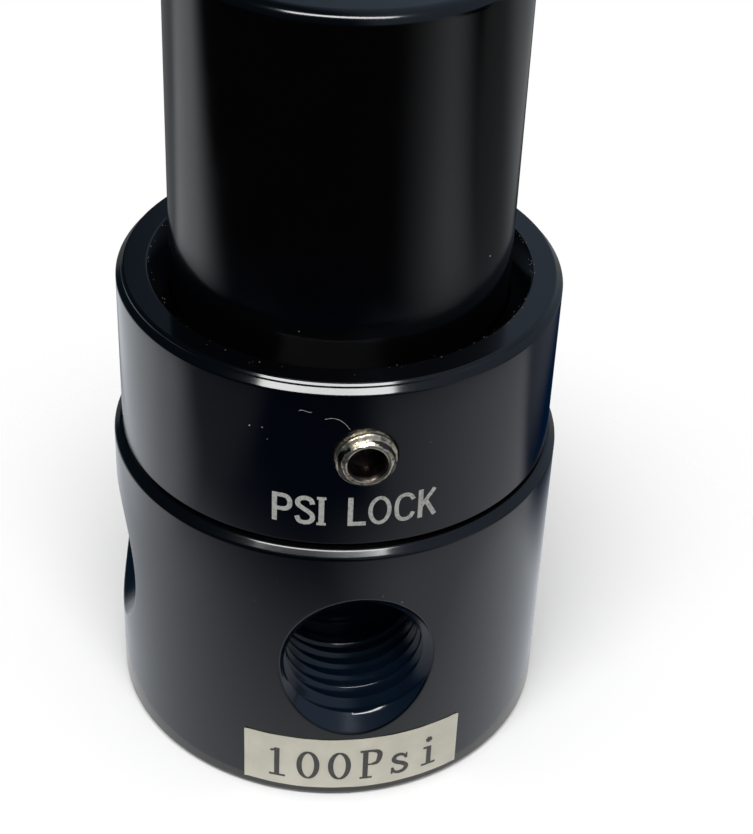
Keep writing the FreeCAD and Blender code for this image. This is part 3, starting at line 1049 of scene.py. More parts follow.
@dataclass
class LockScrew:
    """The socket set screw that holds the knob, worn at its hexagon.

    The places on its end face are a share of the shank's radius, a depth and how round it is worn.
    """

    around: int = 120
    rings: int = 72
    pitch: float = 0.8
    thread_depth: float = 0.42
    chamfer: float = 0.6
    hexagon: float = 2.5
    hexagon_depth: float = 1.7
    wear: float = 0.85
    burr: float = 0.32                  # how far the knocked-up rim of the socket stands out
    end_face: tuple[tuple[float, float, float], ...] = (
        (0.74, 0.0, 1.0), (0.71, -0.02, 1.0), (0.68, 0.03, 1.0), (0.655, 0.05, 1.0), (0.63, 0.11, 1.0),
        (0.60, 0.22, 0.9), (0.57, 0.34, 0.85))
    socket_depths: tuple[float, ...] = (0.42, 0.8, 1.3, 1.6, 1.7)

    def hexagon_radius(self, angles: Array, flats: float, wear: float) -> Array:
        """Work out a hexagon whose corners are worn round.

        Args:
            angles: Angles in radians.
            flats: Size across flats.
            wear: From 0, a sharp hexagon, to 1, a circle.

        Returns:
            The radius at each angle.
        """
        sixth = math.pi / 3
        off = (angles + 0.35) % sixth - sixth / 2
        return (1 - wear) * flats / 2 / np.cos(off) + wear * flats / 2 * 1.07

    def dents(self, angles: Array, distance: float) -> Array:
        """Work out how far the worn crests and rim are knocked in.

        Args:
            angles: Angles in radians.
            distance: Distance along the screw.

        Returns:
            The depth at each angle.
        """
        ripple = np.sin(5 * angles + 2.1 * distance) * np.sin(11 * angles - 3.7 * distance + 1.0)
        nick = np.exp(-((angles - 1.75) / 0.09) ** 2) + 0.7 * np.exp(-((angles - 5.35) / 0.07) ** 2)
        return 0.045 * np.clip(ripple, 0, 1) + 0.09 * nick

    def soiled_and_shaded(self, across: float, up: float, depth: float, shank: float) -> bool:
        """Tell whether a place takes the dark steel, for dirt and for painted shade: in the socket, and in
        the hollow around its rim, but for a stretch left light.

        Args:
            across: The place, to the right of the screw's axis.
            up: The place, above the screw's axis.
            depth: The place, behind the end face.
            shank: The shank's radius.

        Returns:
            True where it takes the dark steel.
        """
        angle = math.atan2(up, across)
        in_socket = 0.06 < depth < self.hexagon_depth + 0.3 and math.hypot(across, up) < 0.65 * shank
        in_hollow = 0.17 + 0.07 * math.sin(5 * angle) < depth < 0.47 + 0.07 * math.sin(7 * angle + 1)
        left_light = abs(angle - 2.0) < 0.3
        return in_socket or in_hollow and not left_light

    def build(self, material: bpy.types.Material, socket: bpy.types.Material) -> None:
        """Make the screw.

        Args:
            material: Plated steel.
            socket: The same steel, dark for oil and dirt and for painted shade, for the socket.
        """
        low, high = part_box("lock_set_screw")
        side = SideFrame(0, (low.z + high.z) / 2 / MM)
        outer_end, inner_end = -low.y / MM + self.burr, -high.y / MM
        shank = (high.z - low.z) / 2 / MM
        angles = np.arange(self.around) * 2 * math.pi / self.around
        thread = Thread(self.pitch, shank - self.thread_depth, 0, shank, inner_end - 9, inside=False)
        centre = np.zeros(self.around)
        loops = [side.point(centre, centre, inner_end)]
        for distance in np.linspace(inner_end, outer_end, self.rings):
            cut = thread.radius(angles, np.full(self.around, distance))
            ends = shank - self.chamfer + min(distance - inner_end, outer_end - distance)
            radius = soft_limit(cut, np.full(self.around, ends), 0.05) - self.dents(angles, distance)
            loops.append(side.point(radius * np.cos(angles), radius * np.sin(angles), distance))
        for share, depth, wear in self.end_face:
            radius = self.hexagon_radius(angles, 2 * shank * share / (1 + 0.07 * wear), wear)
            loops.append(side.point(radius * np.cos(angles), radius * np.sin(angles), outer_end - depth))
        for depth in self.socket_depths:
            wear = self.wear * max(0.0, 1 - depth / 7)
            radius = self.hexagon_radius(angles, self.hexagon + 0.12 * max(0, 1 - depth), wear)
            loops.append(side.point(radius * np.cos(angles), radius * np.sin(angles), outer_end - depth))
        loops.append(side.point(centre, centre, outer_end - self.hexagon_depth - 0.25))
        surface = Surface()
        surface.grid(np.stack(loops), closed=True)
        screw = surface.build("lock_screw", material, 50)
        screw.data.materials.append(socket)
        # The socket and the hollow take the dark steel: oil and dirt, and painted shade.
        for face in screw.data.polygons:
            across, up = face.center.x / MM, face.center.z / MM - side.height
            if self.soiled_and_shaded(across, up, outer_end + face.center.y / MM, shank):
                face.material_index = 1
        register(screw, "lock_screw", ["lock_set_screw"])


class Style(Enum):
    """How a stroke's points are joined."""

    STRAIGHT = "straight"
    CURVED = "curved"


@dataclass(frozen=True)
class Stroke:
    """One pen stroke of a letter.

    Attributes:
        points: Places across and up, in cap heights.
        width: Its width, in cap heights.
        swell: Width added halfway along it.
        style: How its points are joined.
        closed: Whether it comes back to its start.
    """

    points: tuple[tuple[float, float], ...]
    width: float
    swell: float = 0.0
    style: Style = Style.STRAIGHT
    closed: bool = False

    def line(self) -> Array:
        """Follow the stroke closely enough to bend it around a wall.

        Returns:
            Points along it.
        """
        corners = np.array(self.points, float)
        if self.style is Style.STRAIGHT:
            steps = 10
            shares = np.linspace(0, 1, steps + 1)[:, None]
            runs = [a + (b - a) * shares for a, b in zip(corners[:-1], corners[1:])]
            return np.concatenate([run[:-1] for run in runs] + [corners[-1:]])
        ends = (corners[-1:], corners[:2]) if self.closed else (corners[:1], corners[-1:])
        padded = np.concatenate([ends[0], corners, ends[1]])
        points = []
        for place in range(len(padded) - 3):
            a, b, c, d = padded[place:place + 4]
            for t in np.arange(6) / 6:
                points.append(0.5 * (2 * b + (c - a) * t + (2 * a - 5 * b + 4 * c - d) * t * t
                                     + (3 * b - a - 3 * c + d) * t ** 3))
        if not self.closed:
            points.append(corners[-1])
        return np.array(points)

    def ribbon(self) -> tuple[Array, Array]:
        """Find the stroke's two sides.

        Returns:
            Points of the left side and of the right side.
        """
        line = self.line()
        if self.closed:
            along = np.roll(line, -1, 0) - np.roll(line, 1, 0)
        else:
            along = np.gradient(line, axis=0)
        along /= np.linalg.norm(along, axis=1)[:, None]
        share = np.linspace(0, 1, len(line))
        if self.closed:
            swell = np.abs(np.cos(2 * math.pi * np.arange(len(line)) / len(line)))
        else:
            swell = np.sin(math.pi * share)
        half = (self.width + self.swell * swell)[:, None] / 2
        across = np.stack([-along[:, 1], along[:, 0]], -1)
        return line + across * half, line - across * half


def oval(x: float, y: float, across: float, up: float, count: int = 16) -> tuple[tuple[float, float], ...]:
    """List points around an oval, counter-clockwise from its right.

    Args:
        x: Centre across.
        y: Centre up.
        across: Half its width.
        up: Half its height.
        count: Number of points.

    Returns:
        The points.
    """
    angles = [2 * math.pi * step / count for step in range(count)]
    return tuple((x + across * math.cos(angle), y + up * math.sin(angle)) for angle in angles)


@dataclass(frozen=True)
class Letter:
    """A letter's strokes and how far on the next letter starts, in cap heights."""

    strokes: tuple[Stroke, ...]
    advance: float


# The laser marking's letters: plain capitals, with feet on the I alone.
PEN = 0.145
PLAIN_CAPITALS = {
    "P": Letter((
        Stroke(((0.08, 0.0), (0.08, 1.0)), PEN),
        Stroke(((0.08, 0.93), (0.32, 0.93)), PEN - 0.01),
        Stroke(((0.08, 0.45), (0.32, 0.45)), PEN - 0.01),
        Stroke(((0.30, 0.93), (0.42, 0.90), (0.50, 0.81), (0.52, 0.69), (0.50, 0.57), (0.42, 0.48),
                (0.30, 0.45)), PEN, style=Style.CURVED)), 0.66),
    "S": Letter((
        Stroke(((0.50, 0.72), (0.46, 0.86), (0.33, 0.93), (0.19, 0.91), (0.09, 0.82), (0.10, 0.68),
                (0.22, 0.57), (0.38, 0.46), (0.49, 0.34), (0.50, 0.20), (0.41, 0.09), (0.27, 0.06),
                (0.13, 0.11), (0.06, 0.27)), PEN, style=Style.CURVED),), 0.62),
    "I": Letter((
        Stroke(((0.13, 0.0), (0.13, 1.0)), PEN + 0.01),
        Stroke(((0.0, 0.955), (0.26, 0.955)), 0.09),
        Stroke(((0.0, 0.045), (0.26, 0.045)), 0.09)), 0.36),
    " ": Letter((), 0.50),
    "L": Letter((
        Stroke(((0.08, 0.0), (0.08, 1.0)), PEN),
        Stroke(((0.08, 0.07), (0.52, 0.07)), PEN - 0.01)), 0.58),
    "O": Letter((
        Stroke(oval(0.33, 0.5, 0.27, 0.44), PEN - 0.025, style=Style.CURVED, closed=True),), 0.74),
    "C": Letter((
        Stroke(((0.56, 0.73), (0.49, 0.87), (0.35, 0.935), (0.20, 0.90), (0.10, 0.76), (0.07, 0.5),
                (0.10, 0.24), (0.20, 0.10), (0.35, 0.065), (0.49, 0.13), (0.57, 0.28)),
               PEN - 0.02, style=Style.CURVED),), 0.70),
    "K": Letter((
        Stroke(((0.08, 0.0), (0.08, 1.0)), PEN),
        Stroke(((0.11, 0.42), (0.50, 0.97)), PEN - 0.02),
        Stroke(((0.24, 0.58), (0.53, 0.02)), PEN - 0.01)), 0.6),
}
# The label's letters: a typewriter's, all of one advance, with thin feet and swelling bows.
PRINTED_LETTERS = {
    "1": Letter((
        Stroke(((0.36, 0.03), (0.36, 0.97)), 0.135),
        Stroke(((0.19, 0.87), (0.28, 0.90), (0.36, 0.96)), 0.065, style=Style.CURVED),
        Stroke(((0.16, 0.03), (0.58, 0.03)), 0.065)), 0.80),
    "0": Letter((Stroke(oval(0.36, 0.5, 0.225, 0.45), 0.055, 0.08, Style.CURVED, True),), 0.80),
    "P": Letter((
        Stroke(((0.22, 0.03), (0.22, 0.96)), 0.135),
        Stroke(((0.08, 0.03), (0.40, 0.03)), 0.065),
        Stroke(((0.08, 0.965), (0.40, 0.965)), 0.065),
        Stroke(((0.38, 0.965), (0.53, 0.92), (0.59, 0.80), (0.53, 0.55), (0.38, 0.49)), 0.06, 0.075,
               Style.CURVED),
        Stroke(((0.40, 0.49), (0.22, 0.49)), 0.05)), 0.80),
    "s": Letter((
        Stroke(((0.49, 0.50), (0.44, 0.61), (0.32, 0.66), (0.20, 0.61), (0.17, 0.49), (0.27, 0.39),
                (0.41, 0.32), (0.51, 0.21), (0.46, 0.08), (0.32, 0.03), (0.19, 0.08), (0.14, 0.21)),
               0.06, 0.065, Style.CURVED),
        Stroke(((0.505, 0.49), (0.505, 0.68)), 0.045),
        Stroke(((0.13, 0.01), (0.13, 0.22)), 0.045)), 0.80),
    "i": Letter((
        Stroke(((0.34, 0.03), (0.34, 0.65)), 0.135),
        Stroke(((0.18, 0.62), (0.34, 0.62)), 0.065),
        Stroke(((0.14, 0.03), (0.54, 0.03)), 0.065),
        Stroke(oval(0.33, 0.89, 0.05, 0.05, 8), 0.09, style=Style.CURVED, closed=True)), 0.80),
}


@dataclass
class Lettering:
    """Words laid on an upright wall.

    Attributes:
        words: What they say.
        letters: The alphabet.
        cap_height: Height of a capital.
        radius: Radius of the wall.
        azimuth: Azimuth of the words' middle.
        foot: Height of their foot.
        proud: How far they stand off the wall.
    """

    words: str
    letters: dict[str, Letter]
    cap_height: float
    radius: float
    azimuth: float
    foot: float
    proud: float = 0.012

    def outline(self) -> tuple[list[Vector], list[list[int]], float]:
        """Merge the strokes of all letters.

        Returns:
            Points, the triangles that are inked and the words' width, in cap heights.
        """
        quads: list[Array] = []
        start = 0.0
        for sign in self.words:
            for stroke in self.letters[sign].strokes:
                left, right = stroke.ribbon()
                quad = np.stack([right, np.roll(right, -1, 0), np.roll(left, -1, 0), left], 1)
                quads.append((quad if stroke.closed else quad[:-1]) + np.array([start, 0.0]))
            start += self.letters[sign].advance
        corners = np.concatenate(quads)
        points = [Vector(point) for point in corners.reshape(-1, 2).tolist()]
        sides = [(4 * quad + side, 4 * quad + (side + 1) % 4)
                 for quad in range(len(corners)) for side in range(4)]
        flat, _, cells, _, _, _ = geometry.delaunay_2d_cdt(points, sides, [], 0, 1e-5)
        places = np.array([point[:] for point in flat])
        centres = places[np.array(cells)].mean(1)
        along = np.roll(corners, -1, 1) - corners
        beside = centres[:, None, None] - corners
        turn = along[..., 0] * beside[..., 1] - along[..., 1] * beside[..., 0]
        covered = (turn >= 0).all(2).any(1)
        return flat, [cell for cell, ink in zip(cells, covered) if ink], start - 0.08

    def build(self, name: str, material: bpy.types.Material) -> bpy.types.Object:
        """Make the words as one closed thin mesh.

        Args:
            name: The object's name.
            material: The ink or marking.

        Returns:
            The object.
        """
        flat, inked, width = self.outline()
        outer, inner = [], []
        for x, y in flat:
            azimuth = math.radians(self.azimuth) + (x - width / 2) * self.cap_height / self.radius
            height = self.foot + y * self.cap_height
            for ring, radius in ((outer, self.radius + self.proud), (inner, self.radius - self.proud)):
                ring.append((radius * math.sin(azimuth) * MM, -radius * math.cos(azimuth) * MM, height * MM))
        total = len(flat)
        back = [[total + corner for corner in reversed(cell)] for cell in inked]
        border: dict[tuple[int, int], int] = {}
        for cell in inked:
            for a, b in zip(cell, cell[1:] + cell[:1]):
                border[(a, b)] = border.get((a, b), 0) + 1
        sides = [[b, a, total + a, total + b] for a, b in border if (b, a) not in border]
        mesh = bpy.data.meshes.new(name)
        mesh.from_pydata(outer + inner, [], inked + back + sides)
        work = bmesh.new()
        work.from_mesh(mesh)
        loose = [vertex for vertex in work.verts if not vertex.link_faces]
        bmesh.ops.delete(work, geom=loose, context="VERTS")
        bmesh.ops.recalc_face_normals(work, faces=work.faces)
        work.to_mesh(mesh)
        work.free()
        return place_mesh(name, mesh, material)


@dataclass
class Label:
    """The cream paper label under the outlet port."""

    thickness: float = 0.08
    curl: float = 0.06                  # lift at its two ends
    columns: int = 96
    rows: int = 24
    words: str = "100Psi"
    cap_height: float = 3.4
    words_up: float = 0.95              # from the label's foot to the words' foot
    words_azimuth: float = 0.25

    def build(self, paper: bpy.types.Material, ink: bpy.types.Material) -> None:
        """Make the label and its print.

        Args:
            paper: The paper.
            ink: The print.
        """
        low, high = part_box("pressure_label")
        foot, top = low.z / MM, high.z / MM
        outside = -low.y / MM
        half = math.asin(high.x / MM / outside)
        across = np.linspace(-1, 1, self.columns)
        up = np.linspace(0, 1, self.rows)[:, None]
        azimuth = across * half
        lift = self.curl * (np.clip((np.abs(across) - 0.96) / 0.04, 0, 1) ** 2)
        waver = 0.012 * np.sin(9 * across + 4 * up) + 0.008 * np.sin(23 * across - 6 * up)
        outer_radius = outside + waver + lift
        inner_radius = outer_radius - self.thickness
        height = foot + (top - foot) * up + 0 * across
        sheets = [np.stack([radius * np.sin(azimuth), -radius * np.cos(azimuth), height], -1)
                  for radius in (outer_radius, inner_radius)]
        surface = Surface()
        surface.grid(sheets[0])
        surface.grid(sheets[1])
        for edge in ((0, slice(None)), (-1, slice(None)), (slice(None), 0), (slice(None), -1)):
            surface.grid(np.stack([sheets[0][edge], sheets[1][edge]]))
        register(surface.build("label_paper", paper), "base", ["pressure_label"])
        lettering = Lettering(self.words, PRINTED_LETTERS, self.cap_height, radius=outside + 0.012,
                              azimuth=self.words_azimuth, foot=foot + self.words_up, proud=0.02)
        register(lettering.build("label_print", ink), "base")


@dataclass
class Internals:
    """Everything inside that makes it work, and what shows in the ports and under the foot."""

    turns: int = 7
    wire_width: float = 2.0
    wire_height: float = 1.7
    mean_radius: float = 7.2
    wire_edge: float = 0.35
    steps_a_turn: int = 96

    def build(self, finishes: dict[str, bpy.types.Material]) -> None:
        """Dress the CAD nodes and make the main spring.

        Args:
            finishes: Materials by the record's slot.
        """
        for slot, nodes in {
            "brass": ["valve_seat", "poppet", "bottom_plug"],
            "plain_aluminium": ["piston"],
            "stainless_steel": ["spring_washer", "filter_clip"],
            "screw_steel": ["spring_button"],
            "spring_steel": ["poppet_spring"],
            "sintered_bronze": ["inlet_filter"],
            "seal_rubber": ["poppet_seal", "seat_o_ring", "piston_o_ring", "bonnet_gasket", "plug_washer"],
            "nylon": ["lock_pad", "thrust_washer"],
        }.items():
            for node in nodes:
                dress(node, finishes[slot])
        self.main_spring(finishes["spring_steel"])

    def main_spring(self, material: bpy.types.Material) -> None:
        """Make the main spring as one coil that moves with the piston; the real one shortens as the knob
        goes down.

        Args:
            material: Spring steel.
        """
        low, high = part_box("main_spring")
        foot, top = low.z / MM, high.z / MM
        across, up = self.wire_width / 2, self.wire_height / 2
        edge = self.wire_edge
        section = []
        for x, y in ((1, 1), (-1, 1), (-1, -1), (1, -1)):
            centre = np.array([x * (across - edge), y * (up - edge)])
            for step in range(4):
                angle = math.atan2(y, x) - math.pi / 4 + step * math.pi / 6
                section.append(centre + edge * np.array([math.cos(angle), math.sin(angle)]))
        section = np.array(section)
        pitch = (top - foot) / self.turns
        count = round((top - foot + 2 * up) / pitch * self.steps_a_turn)
        radius = self.mean_radius + section[:, 0]
        rows = []
        for turn in np.arange(count + 1) / self.steps_a_turn:
            angle = 2 * math.pi * turn
            height = np.clip(foot - up + pitch * turn + section[:, 1], foot, top)
            rows.append(np.stack([radius * math.cos(angle), radius * math.sin(angle), height], -1))
        ends = [np.broadcast_to(row.mean(0), row.shape) for row in (rows[0], rows[-1])]
        surface = Surface()
        surface.grid(np.stack([ends[0], *rows, ends[1]]), closed=True)
        spring = surface.build("main_coil", material)
        register(spring, "piston", ["main_spring"])
        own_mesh(spring)


def tube(points: Array, radius: Array, sides: int = 8) -> Array:
    """Draw a round thread along a line.

    Args:
        points: The line.
        radius: Its radius at each point.
        sides: Faces around.

    Returns:
        Loops of points.
    """
    along = np.gradient(points, axis=0)
    along /= np.linalg.norm(along, axis=1)[:, None]
    first = np.cross(along, np.array([0.3, 0.2, 0.93]))
    first /= np.linalg.norm(first, axis=1)[:, None]
    second = np.cross(along, first)
    angles = np.arange(sides) * 2 * math.pi / sides
    return (points[:, None] + radius[:, None, None]
            * (first[:, None] * np.cos(angles)[:, None] + second[:, None] * np.sin(angles)[:, None]))


@dataclass(frozen=True)
class Grains:
    """Grains of dust scattered along a stretch of a ring-shaped edge.

    Attributes:
        count: How many.
        azimuths: First and last azimuth.
        radii: Inner and outer radius.
        height: Height of the edge.
        size: The largest grain's radius.
    """

    count: int
    azimuths: tuple[float, float]
    radii: tuple[float, float]
    height: float
    size: float = 0.05


@dataclass
class Dust:
    """The few specks and fibres that lie on the regulator.

    Specks are an azimuth, a height and a radius of the speck; fibres are places by azimuth and height.
    """

    knob_specks: tuple[tuple[float, float, float], ...] = ((47.8, 48.6, 0.07), (-19.8, 44.9, 0.05))
    ring_specks: tuple[tuple[float, float, float], ...] = (
        (-28.5, 38.5, 0.07), (-25.2, 38.6, 0.06), (-23.9, 37.6, 0.04), (16.0, 37.2, 0.03),
        (27.0, 34.6, 0.03))
    base_specks: tuple[tuple[float, float, float], ...] = (
        (5.35, 22.85, 0.05), (10.3, 21.9, 0.06), (-26.1, 21.6, 0.04), (35.3, 24.7, 0.04),
        (-20.5, 24.1, 0.03))
    fibres: tuple[tuple[tuple[float, float], ...], ...] = (
        ((-10.0, 40.15), (-8.3, 40.3), (-6.5, 40.13), (-5.0, 39.7), (-4.1, 39.25)),
        ((-16.3, 40.75), (-15.4, 40.85), (-14.2, 40.7), (-13.2, 40.7)))
    fibre_radius: float = 0.017
    seed: int = 5

    def build(self, material: bpy.types.Material) -> None:
        """Make the specks and fibres.

        Args:
            material: Dust.
        """
        ring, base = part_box("bonnet_ring")[1].x / MM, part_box("base_body")[1].x / MM
        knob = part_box("adjusting_knob")[1].x / MM
        top = Ring().top
        surface = Surface()
        for specks, radius in ((self.ring_specks, ring), (self.base_specks, base)):
            for azimuth, height, size in specks:
                self.grain(surface, radius, azimuth, height, size)
        for places in self.fibres:
            self.fibre(surface, np.array(places), ring + self.fibre_radius)
        dice = np.random.default_rng(self.seed)
        for patch in (Grains(40, (15, 115), (15.55, 15.95), top),
                      Grains(22, (-130, -60), (15.3, 15.9), top - 0.1),
                      Grains(14, (-60, 15), (15.6, 16.8), top, 0.04)):
            for _ in range(patch.count):
                azimuth, radius = dice.uniform(*patch.azimuths), dice.uniform(*patch.radii)
                self.grain(surface, radius, azimuth, patch.height, patch.size * dice.uniform(0.4, 1.0))
        register(surface.build("dust_on_body", material), "base")
        surface = Surface()
        for azimuth, height, size in self.knob_specks:
            self.grain(surface, knob, azimuth, height, size)
        register(surface.build("dust_on_knob", material), "knob")

    def grain(self, surface: Surface, radius: float, azimuth: float, height: float, size: float) -> None:
        """Lay one lumpy grain.

        Args:
            surface: Where it goes.
            radius: Distance from the upright axis.
            azimuth: Its azimuth.
            height: Its height.
            size: Its radius.
        """
        turn = math.radians(azimuth)
        around = np.arange(7) * 2 * math.pi / 7
        rise = np.linspace(-math.pi / 2, math.pi / 2, 6)[:, None]
        lump = size * (1 + 0.3 * np.sin(3 * around + azimuth))
        sideways = lump * np.cos(rise) * np.cos(around)
        outwards = radius + 0.6 * lump * np.cos(rise) * np.sin(around)
        surface.grid(np.stack([sideways * math.cos(turn) + outwards * math.sin(turn),
                               sideways * math.sin(turn) - outwards * math.cos(turn),
                               height + size * 0.7 * np.sin(rise) + 0 * around], -1), closed=True)

    def fibre(self, surface: Surface, places: Array, radius: float) -> None:
        """Lay one fibre on a wall.

        Args:
            surface: Where it goes.
            places: Azimuth and height of points along it.
            radius: The wall's radius.
        """
        steps = np.linspace(0, len(places) - 1, 8 * len(places))
        azimuth, height = (np.interp(steps, np.arange(len(places)), places[:, column]) for column in (0, 1))
        turn = np.radians(azimuth)
        line = np.stack([radius * np.sin(turn), -radius * np.cos(turn), height], -1)
        for _ in range(8):
            line[1:-1] = (line[:-2] + line[1:-1] + line[2:]) / 3
        surface.grid(tube(line, np.full(len(line), self.fibre_radius)), closed=True)


def smooth(value: Array, start: float, end: float) -> Array:
    """Rise softly from 0 at one value to 1 at another.

    Args:
        value: The values.
        start: Where the rise starts.
        end: Where it ends, on either side of the start.

    Returns:
        Shares from 0 to 1.
    """
    share = np.clip((value - start) / (end - start), 0, 1)
    return share * share * (3 - 2 * share)


@dataclass
class Studio:
    """Pale floor, one soft light, glowing cards that paint the reflections in the gloss, and the camera."""

    view_azimuth: float = -7.62
    camera_place: tuple[float, float, float] = (-17.85, -133.39, 125.35)
    camera_heading: float = -9.098
    camera_tilt: float = 53.888
    camera_roll: float = 2.643
    focal_length: float = 82.8
    lens_shift: float = 0.0013
    floor_radius: float = 80
    floor_fade: tuple[float, float] = (24, 62)
    lamp_distance: float = 620
    lamp_bearing: float = -6
    lamp_elevation: float = 58
    lamp_size: tuple[float, float] = (560, 150)
    lamp_power: float = 3.7
    fill: float = 0.5
    card_radii: tuple[float, float, float] = (20, 170, 1300)

    def build(self) -> None:
        """Make the floor, the light, the cards and the camera."""
        self.floor()
        self.world()
        self.lamp()
        self.cards()
        self.camera()

    def disc(self, name: str, radii: Array, height: float,
             material: bpy.types.Material) -> bpy.types.Object:
        """Lay a flat ring on the ground, turned towards the camera.

        Args:
            name: The object's name.
            radii: Radii of its points.
            height: Its height.
            material: Its finish.

        Returns:
            The object.
        """
        surface = Surface()
        surface.grid(revolve(np.stack([radii, np.full(len(radii), height)], -1), 180), closed=True)
        disc = surface.build(name, material)
        disc.rotation_euler.z = math.radians(self.view_azimuth)
        return disc

    def floor(self) -> None:
        """Make the pale floor, which carries the shadow and fades into the white background."""
        material, tree, output = new_material("pale_matt_floor")
        place = add_node(tree, "TexCoord")
        reach = add_node(tree, "VectorMath", {"operation": "LENGTH"}, {0: place.outputs["Object"]})
        begin, end = self.floor_fade
        fade = add_node(tree, "MapRange", {"From Min": begin * MM, "From Max": end * MM,
                                           "interpolation_type": "SMOOTHSTEP"},
                        {"Value": reach.outputs["Value"]})
        matt = add_node(tree, "BsdfDiffuse", {"Color": linear("#F4F4F4")})
        clear = add_node(tree, "BsdfTransparent")
        mixed = add_node(tree, "MixShader", links={0: fade.outputs["Result"], 1: matt.outputs["BSDF"],
                                                   2: clear.outputs["BSDF"]})
        tree.links.new(mixed.outputs["Shader"], output.inputs["Surface"])
        self.disc("pale_floor", np.linspace(0, self.floor_radius, 9), -0.02, material)

    def world(self) -> None:
        """Show white behind the object, and light it with a dim even grey."""
        world = bpy.data.worlds.new("white_room")
        bpy.context.scene.world = world
        world.use_nodes = True
        tree = world.node_tree
        tree.nodes.clear()
        output = add_node(tree, "OutputWorld")
        rays = add_node(tree, "LightPath").outputs
        seen = add_node(tree, "Math", {"operation": "MAXIMUM"},
                        {0: rays["Is Camera Ray"], 1: rays["Is Glossy Ray"]})
        shown = add_node(tree, "Math", {"operation": "MAXIMUM"},
                         {0: seen.outputs["Value"], 1: rays["Is Transmission Ray"]})
        dim = add_node(tree, "Background", {"Color": linear("#FFFFFF"), "Strength": self.fill})
        white = add_node(tree, "Background", {"Color": linear("#FFFFFF"), "Strength": 1.0})
        mixed = add_node(tree, "MixShader", links={0: shown.outputs["Value"], 1: dim.outputs["Background"],
                                                   2: white.outputs["Background"]})
        tree.links.new(mixed.outputs["Shader"], output.inputs["Surface"])

    def lamp(self) -> None:
        """Hang one long soft box above and in front."""
        box = bpy.data.lights.new("long_soft_box", "AREA")
        box.shape = "RECTANGLE"
        box.size, box.size_y = self.lamp_size[0] * MM, self.lamp_size[1] * MM
        box.energy = self.lamp_power
        holder = bpy.data.objects.new("long_soft_box", box)
        turn, rise = math.radians(self.view_azimuth + self.lamp_bearing), math.radians(self.lamp_elevation)
        towards = Vector((math.sin(turn) * math.cos(rise), -math.cos(turn) * math.cos(rise), math.sin(rise)))
        holder.location = (towards * self.lamp_distance + Vector((0, 0, 30))) * MM
        holder.rotation_euler = towards.to_track_quat("Z", "Y").to_euler()
        bpy.context.scene.collection.objects.link(holder)

    def ground_reflection_paint(self, right: Array, towards: Array) -> Array:
        """Paint the glowing card that lies around the object with the ground's painted reflection.

        The base sees the foot, the ring what lies to about 80 mm, and the knob what lies beyond. Each
        window is a level that fades at its sides; the brightest one shows, over a faint painted blue tint.

        Args:
            right: Millimetres to the right of the axis, seen from the camera.
            towards: Millimetres towards the camera.

        Returns:
            The painted reflection's brightness in red, green and blue.
        """
        reach = np.hypot(right, towards)
        bearing = np.degrees(np.arctan2(right, towards))
        skirt = 62 - 16 * smooth(bearing, 85, 115) * smooth(right, 0, 24)
        foot = 0.78 * smooth(towards, 62, 2) * smooth(reach, skirt, skirt - 22)
        foot_right = 0.5 * smooth(bearing, -15, 35) * smooth(bearing, 100, 80) * smooth(reach, 60, 46)
        near_left = ((0.78 * smooth(towards, 34, 6) + 0.2 * smooth(towards, 8, -14))
                     * smooth(-right, 28, 42) * smooth(reach, 79, 74))
        near_right = (0.5 * smooth(bearing, -30, 80) * smooth(bearing, 110, 97)
                      * smooth(right, 8, 30) * smooth(reach, 80, 75))
        far_left = (0.72 * smooth(towards - 0.51 * (right + 80), 34, -15) * smooth(-right, 30, 42)
                    * (0.25 + 0.75 * smooth(bearing, -134, -122)) * smooth(reach, 81, 86))
        far_right = (0.8 * smooth(towards - 0.52 * (right - 61), -38, 40)
                     * smooth(bearing, 27, 94) * smooth(reach, 82, 87))
        behind = ((0.11 + 0.17 * smooth(towards, -40, -90))
                  * smooth(right, 40, 60) * smooth(towards, 20, 0))
        before = 0.11 * smooth(-right, 34, 48) * smooth(reach, 82, 74)
        level = np.maximum.reduce([foot, foot_right, near_left, near_right, far_left, far_right,
                                   behind, before])
        # A faint painted blue tint in the reflection, out to about 80 mm from the axis.
        painted_blue_tint = smooth(reach, 92, 74)[:, None] * np.array([0.0, 0.012, 0.045])
        return level[:, None] * np.array([0.96, 1.0, 1.03]) + painted_blue_tint

    def tent_reflection_paint(self, right: Array, towards: Array) -> Array:
        """Paint the glowing dome above the object with the dark room's painted reflection: deep blue, paler
        to the right.

        Args:
            right: Millimetres to the right of the axis, seen from the camera.
            towards: Millimetres towards the camera.

        Returns:
            The painted reflection's brightness in red, green and blue.
        """
        share = smooth(right, -120, 260)[:, None]
        dark, pale = np.array([0.008, 0.03, 0.05]), np.array([0.22, 0.28, 0.37])
        return dark + (pale - dark) * share

    def cards(self) -> None:
        """Set glowing cards around the object that only its gloss sees, whose colours are painted
        reflections.
        """
        material, tree, output = new_material("painted_reflection_card")
        paint = add_node(tree, "Attribute", {"attribute_name": "paint"})
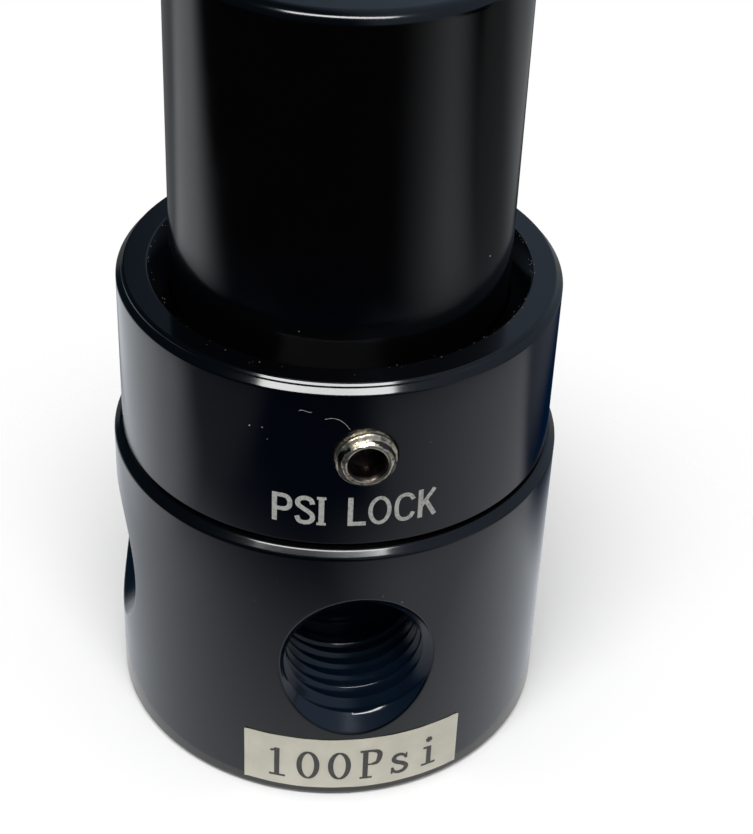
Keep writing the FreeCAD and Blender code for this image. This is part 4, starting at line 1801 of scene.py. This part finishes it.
        # The cards glow with their painted colours: painted reflections that only the gloss sees.
        shine = add_node(tree, "Emission", {"Strength": 1.0}, {"Color": paint.outputs["Color"]})
        tree.links.new(shine.outputs["Emission"], output.inputs["Surface"])
        inner, middle, outer = self.card_radii
        radii = np.concatenate([np.arange(inner, middle, 1.5), np.geomspace(middle, outer, 6)])
        ground = self.disc("ground_reflection_card", radii, 0.3, material)
        surface = Surface()
        rise = np.radians(np.linspace(0, 90, 13))
        surface.grid(revolve(outer * np.stack([np.cos(rise), np.sin(rise)], -1), 180), closed=True)
        tent = surface.build("painted_reflection_dome", material)
        for card, colours in ((ground, self.ground_reflection_paint), (tent, self.tent_reflection_paint)):
            points = np.empty(3 * len(card.data.vertices))
            card.data.vertices.foreach_get("co", points)
            points = points.reshape(-1, 3) / MM
            shade = card.data.attributes.new("paint", "FLOAT_COLOR", "POINT")
            colour = np.c_[colours(points[:, 0], -points[:, 1]), np.ones(len(points))]
            shade.data.foreach_set("color", colour.ravel())
            card.visible_camera = False
            card.visible_diffuse = False
            card.visible_transmission = False
            card.visible_shadow = False

    def camera(self) -> None:
        """Set the camera at the photograph's viewpoint."""
        lens = bpy.data.cameras.new("camera")
        lens.sensor_fit = "VERTICAL"
        lens.sensor_height = 36
        lens.lens = self.focal_length
        lens.shift_x = self.lens_shift
        lens.clip_start, lens.clip_end = 0.005, 20
        holder = bpy.data.objects.new("camera", lens)
        turn = (Matrix.Rotation(math.radians(self.camera_heading), 4, "Z")
                @ Matrix.Rotation(math.radians(self.camera_tilt), 4, "X")
                @ Matrix.Rotation(math.radians(self.camera_roll), 4, "Z"))
        holder.matrix_world = Matrix.Translation(Vector(self.camera_place) * MM) @ turn
        bpy.context.scene.collection.objects.link(holder)
        bpy.context.scene.camera = holder
        bpy.context.scene.view_settings.view_transform = "Standard"


def main() -> None:
    """Build the regulator's sub-assemblies in order, then the studio."""
    logging.basicConfig(level=logging.INFO, format="%(name)s: %(message)s")
    finishes = {
        "black_anodised": BLACK_ANODISING.material("black_anodised_turned_aluminium"),
        "plain_aluminium": BARE_ALUMINIUM.material("bare_turned_aluminium"),
        "brass": TURNED_BRASS.material("turned_brass"),
        "sintered_bronze": SINTERED_BRONZE.material("sintered_bronze"),
        "screw_steel": PLATED_STEEL.material("zinc_plated_steel"),
        "spring_steel": DRAWN_STEEL.material("drawn_spring_steel"),
        "stainless_steel": STAINLESS_STEEL.material("ground_stainless_steel"),
        "seal_rubber": NITRILE_RUBBER.material("moulded_nitrile_rubber"),
        "nylon": MOULDED_NYLON.material("moulded_nylon"),
        "label_tape": COATED_PAPER.material("coated_paper"),
    }
    anodised = finishes["black_anodised"]
    Base().build(anodised, PORT_ANODISING_PAINTED_BLUE.material("tapped_anodising_painted_blue_light"))
    ring = Ring()
    ring.build(anodised)
    marking = Lettering("PSI LOCK", PLAIN_CAPITALS, 2.8, radius=ring.radius, azimuth=-2.2, foot=29.85)
    register(marking.build("lock_marking", LASER_MARK.material("laser_marked_anodising")),
             "base")
    Knob().build(anodised)
    LockScrew().build(finishes["screw_steel"], OILY_STEEL_AND_PAINTED_SHADE.material("oily_steel_painted_shade"))
    Label().build(finishes["label_tape"], RIBBON_PRINT.material("ribbon_print"))
    Internals().build(finishes)
    Dust().build(HOUSE_DUST.material("cotton_lint"))
    Studio().build()


if __name__ == "__main__":
    main()
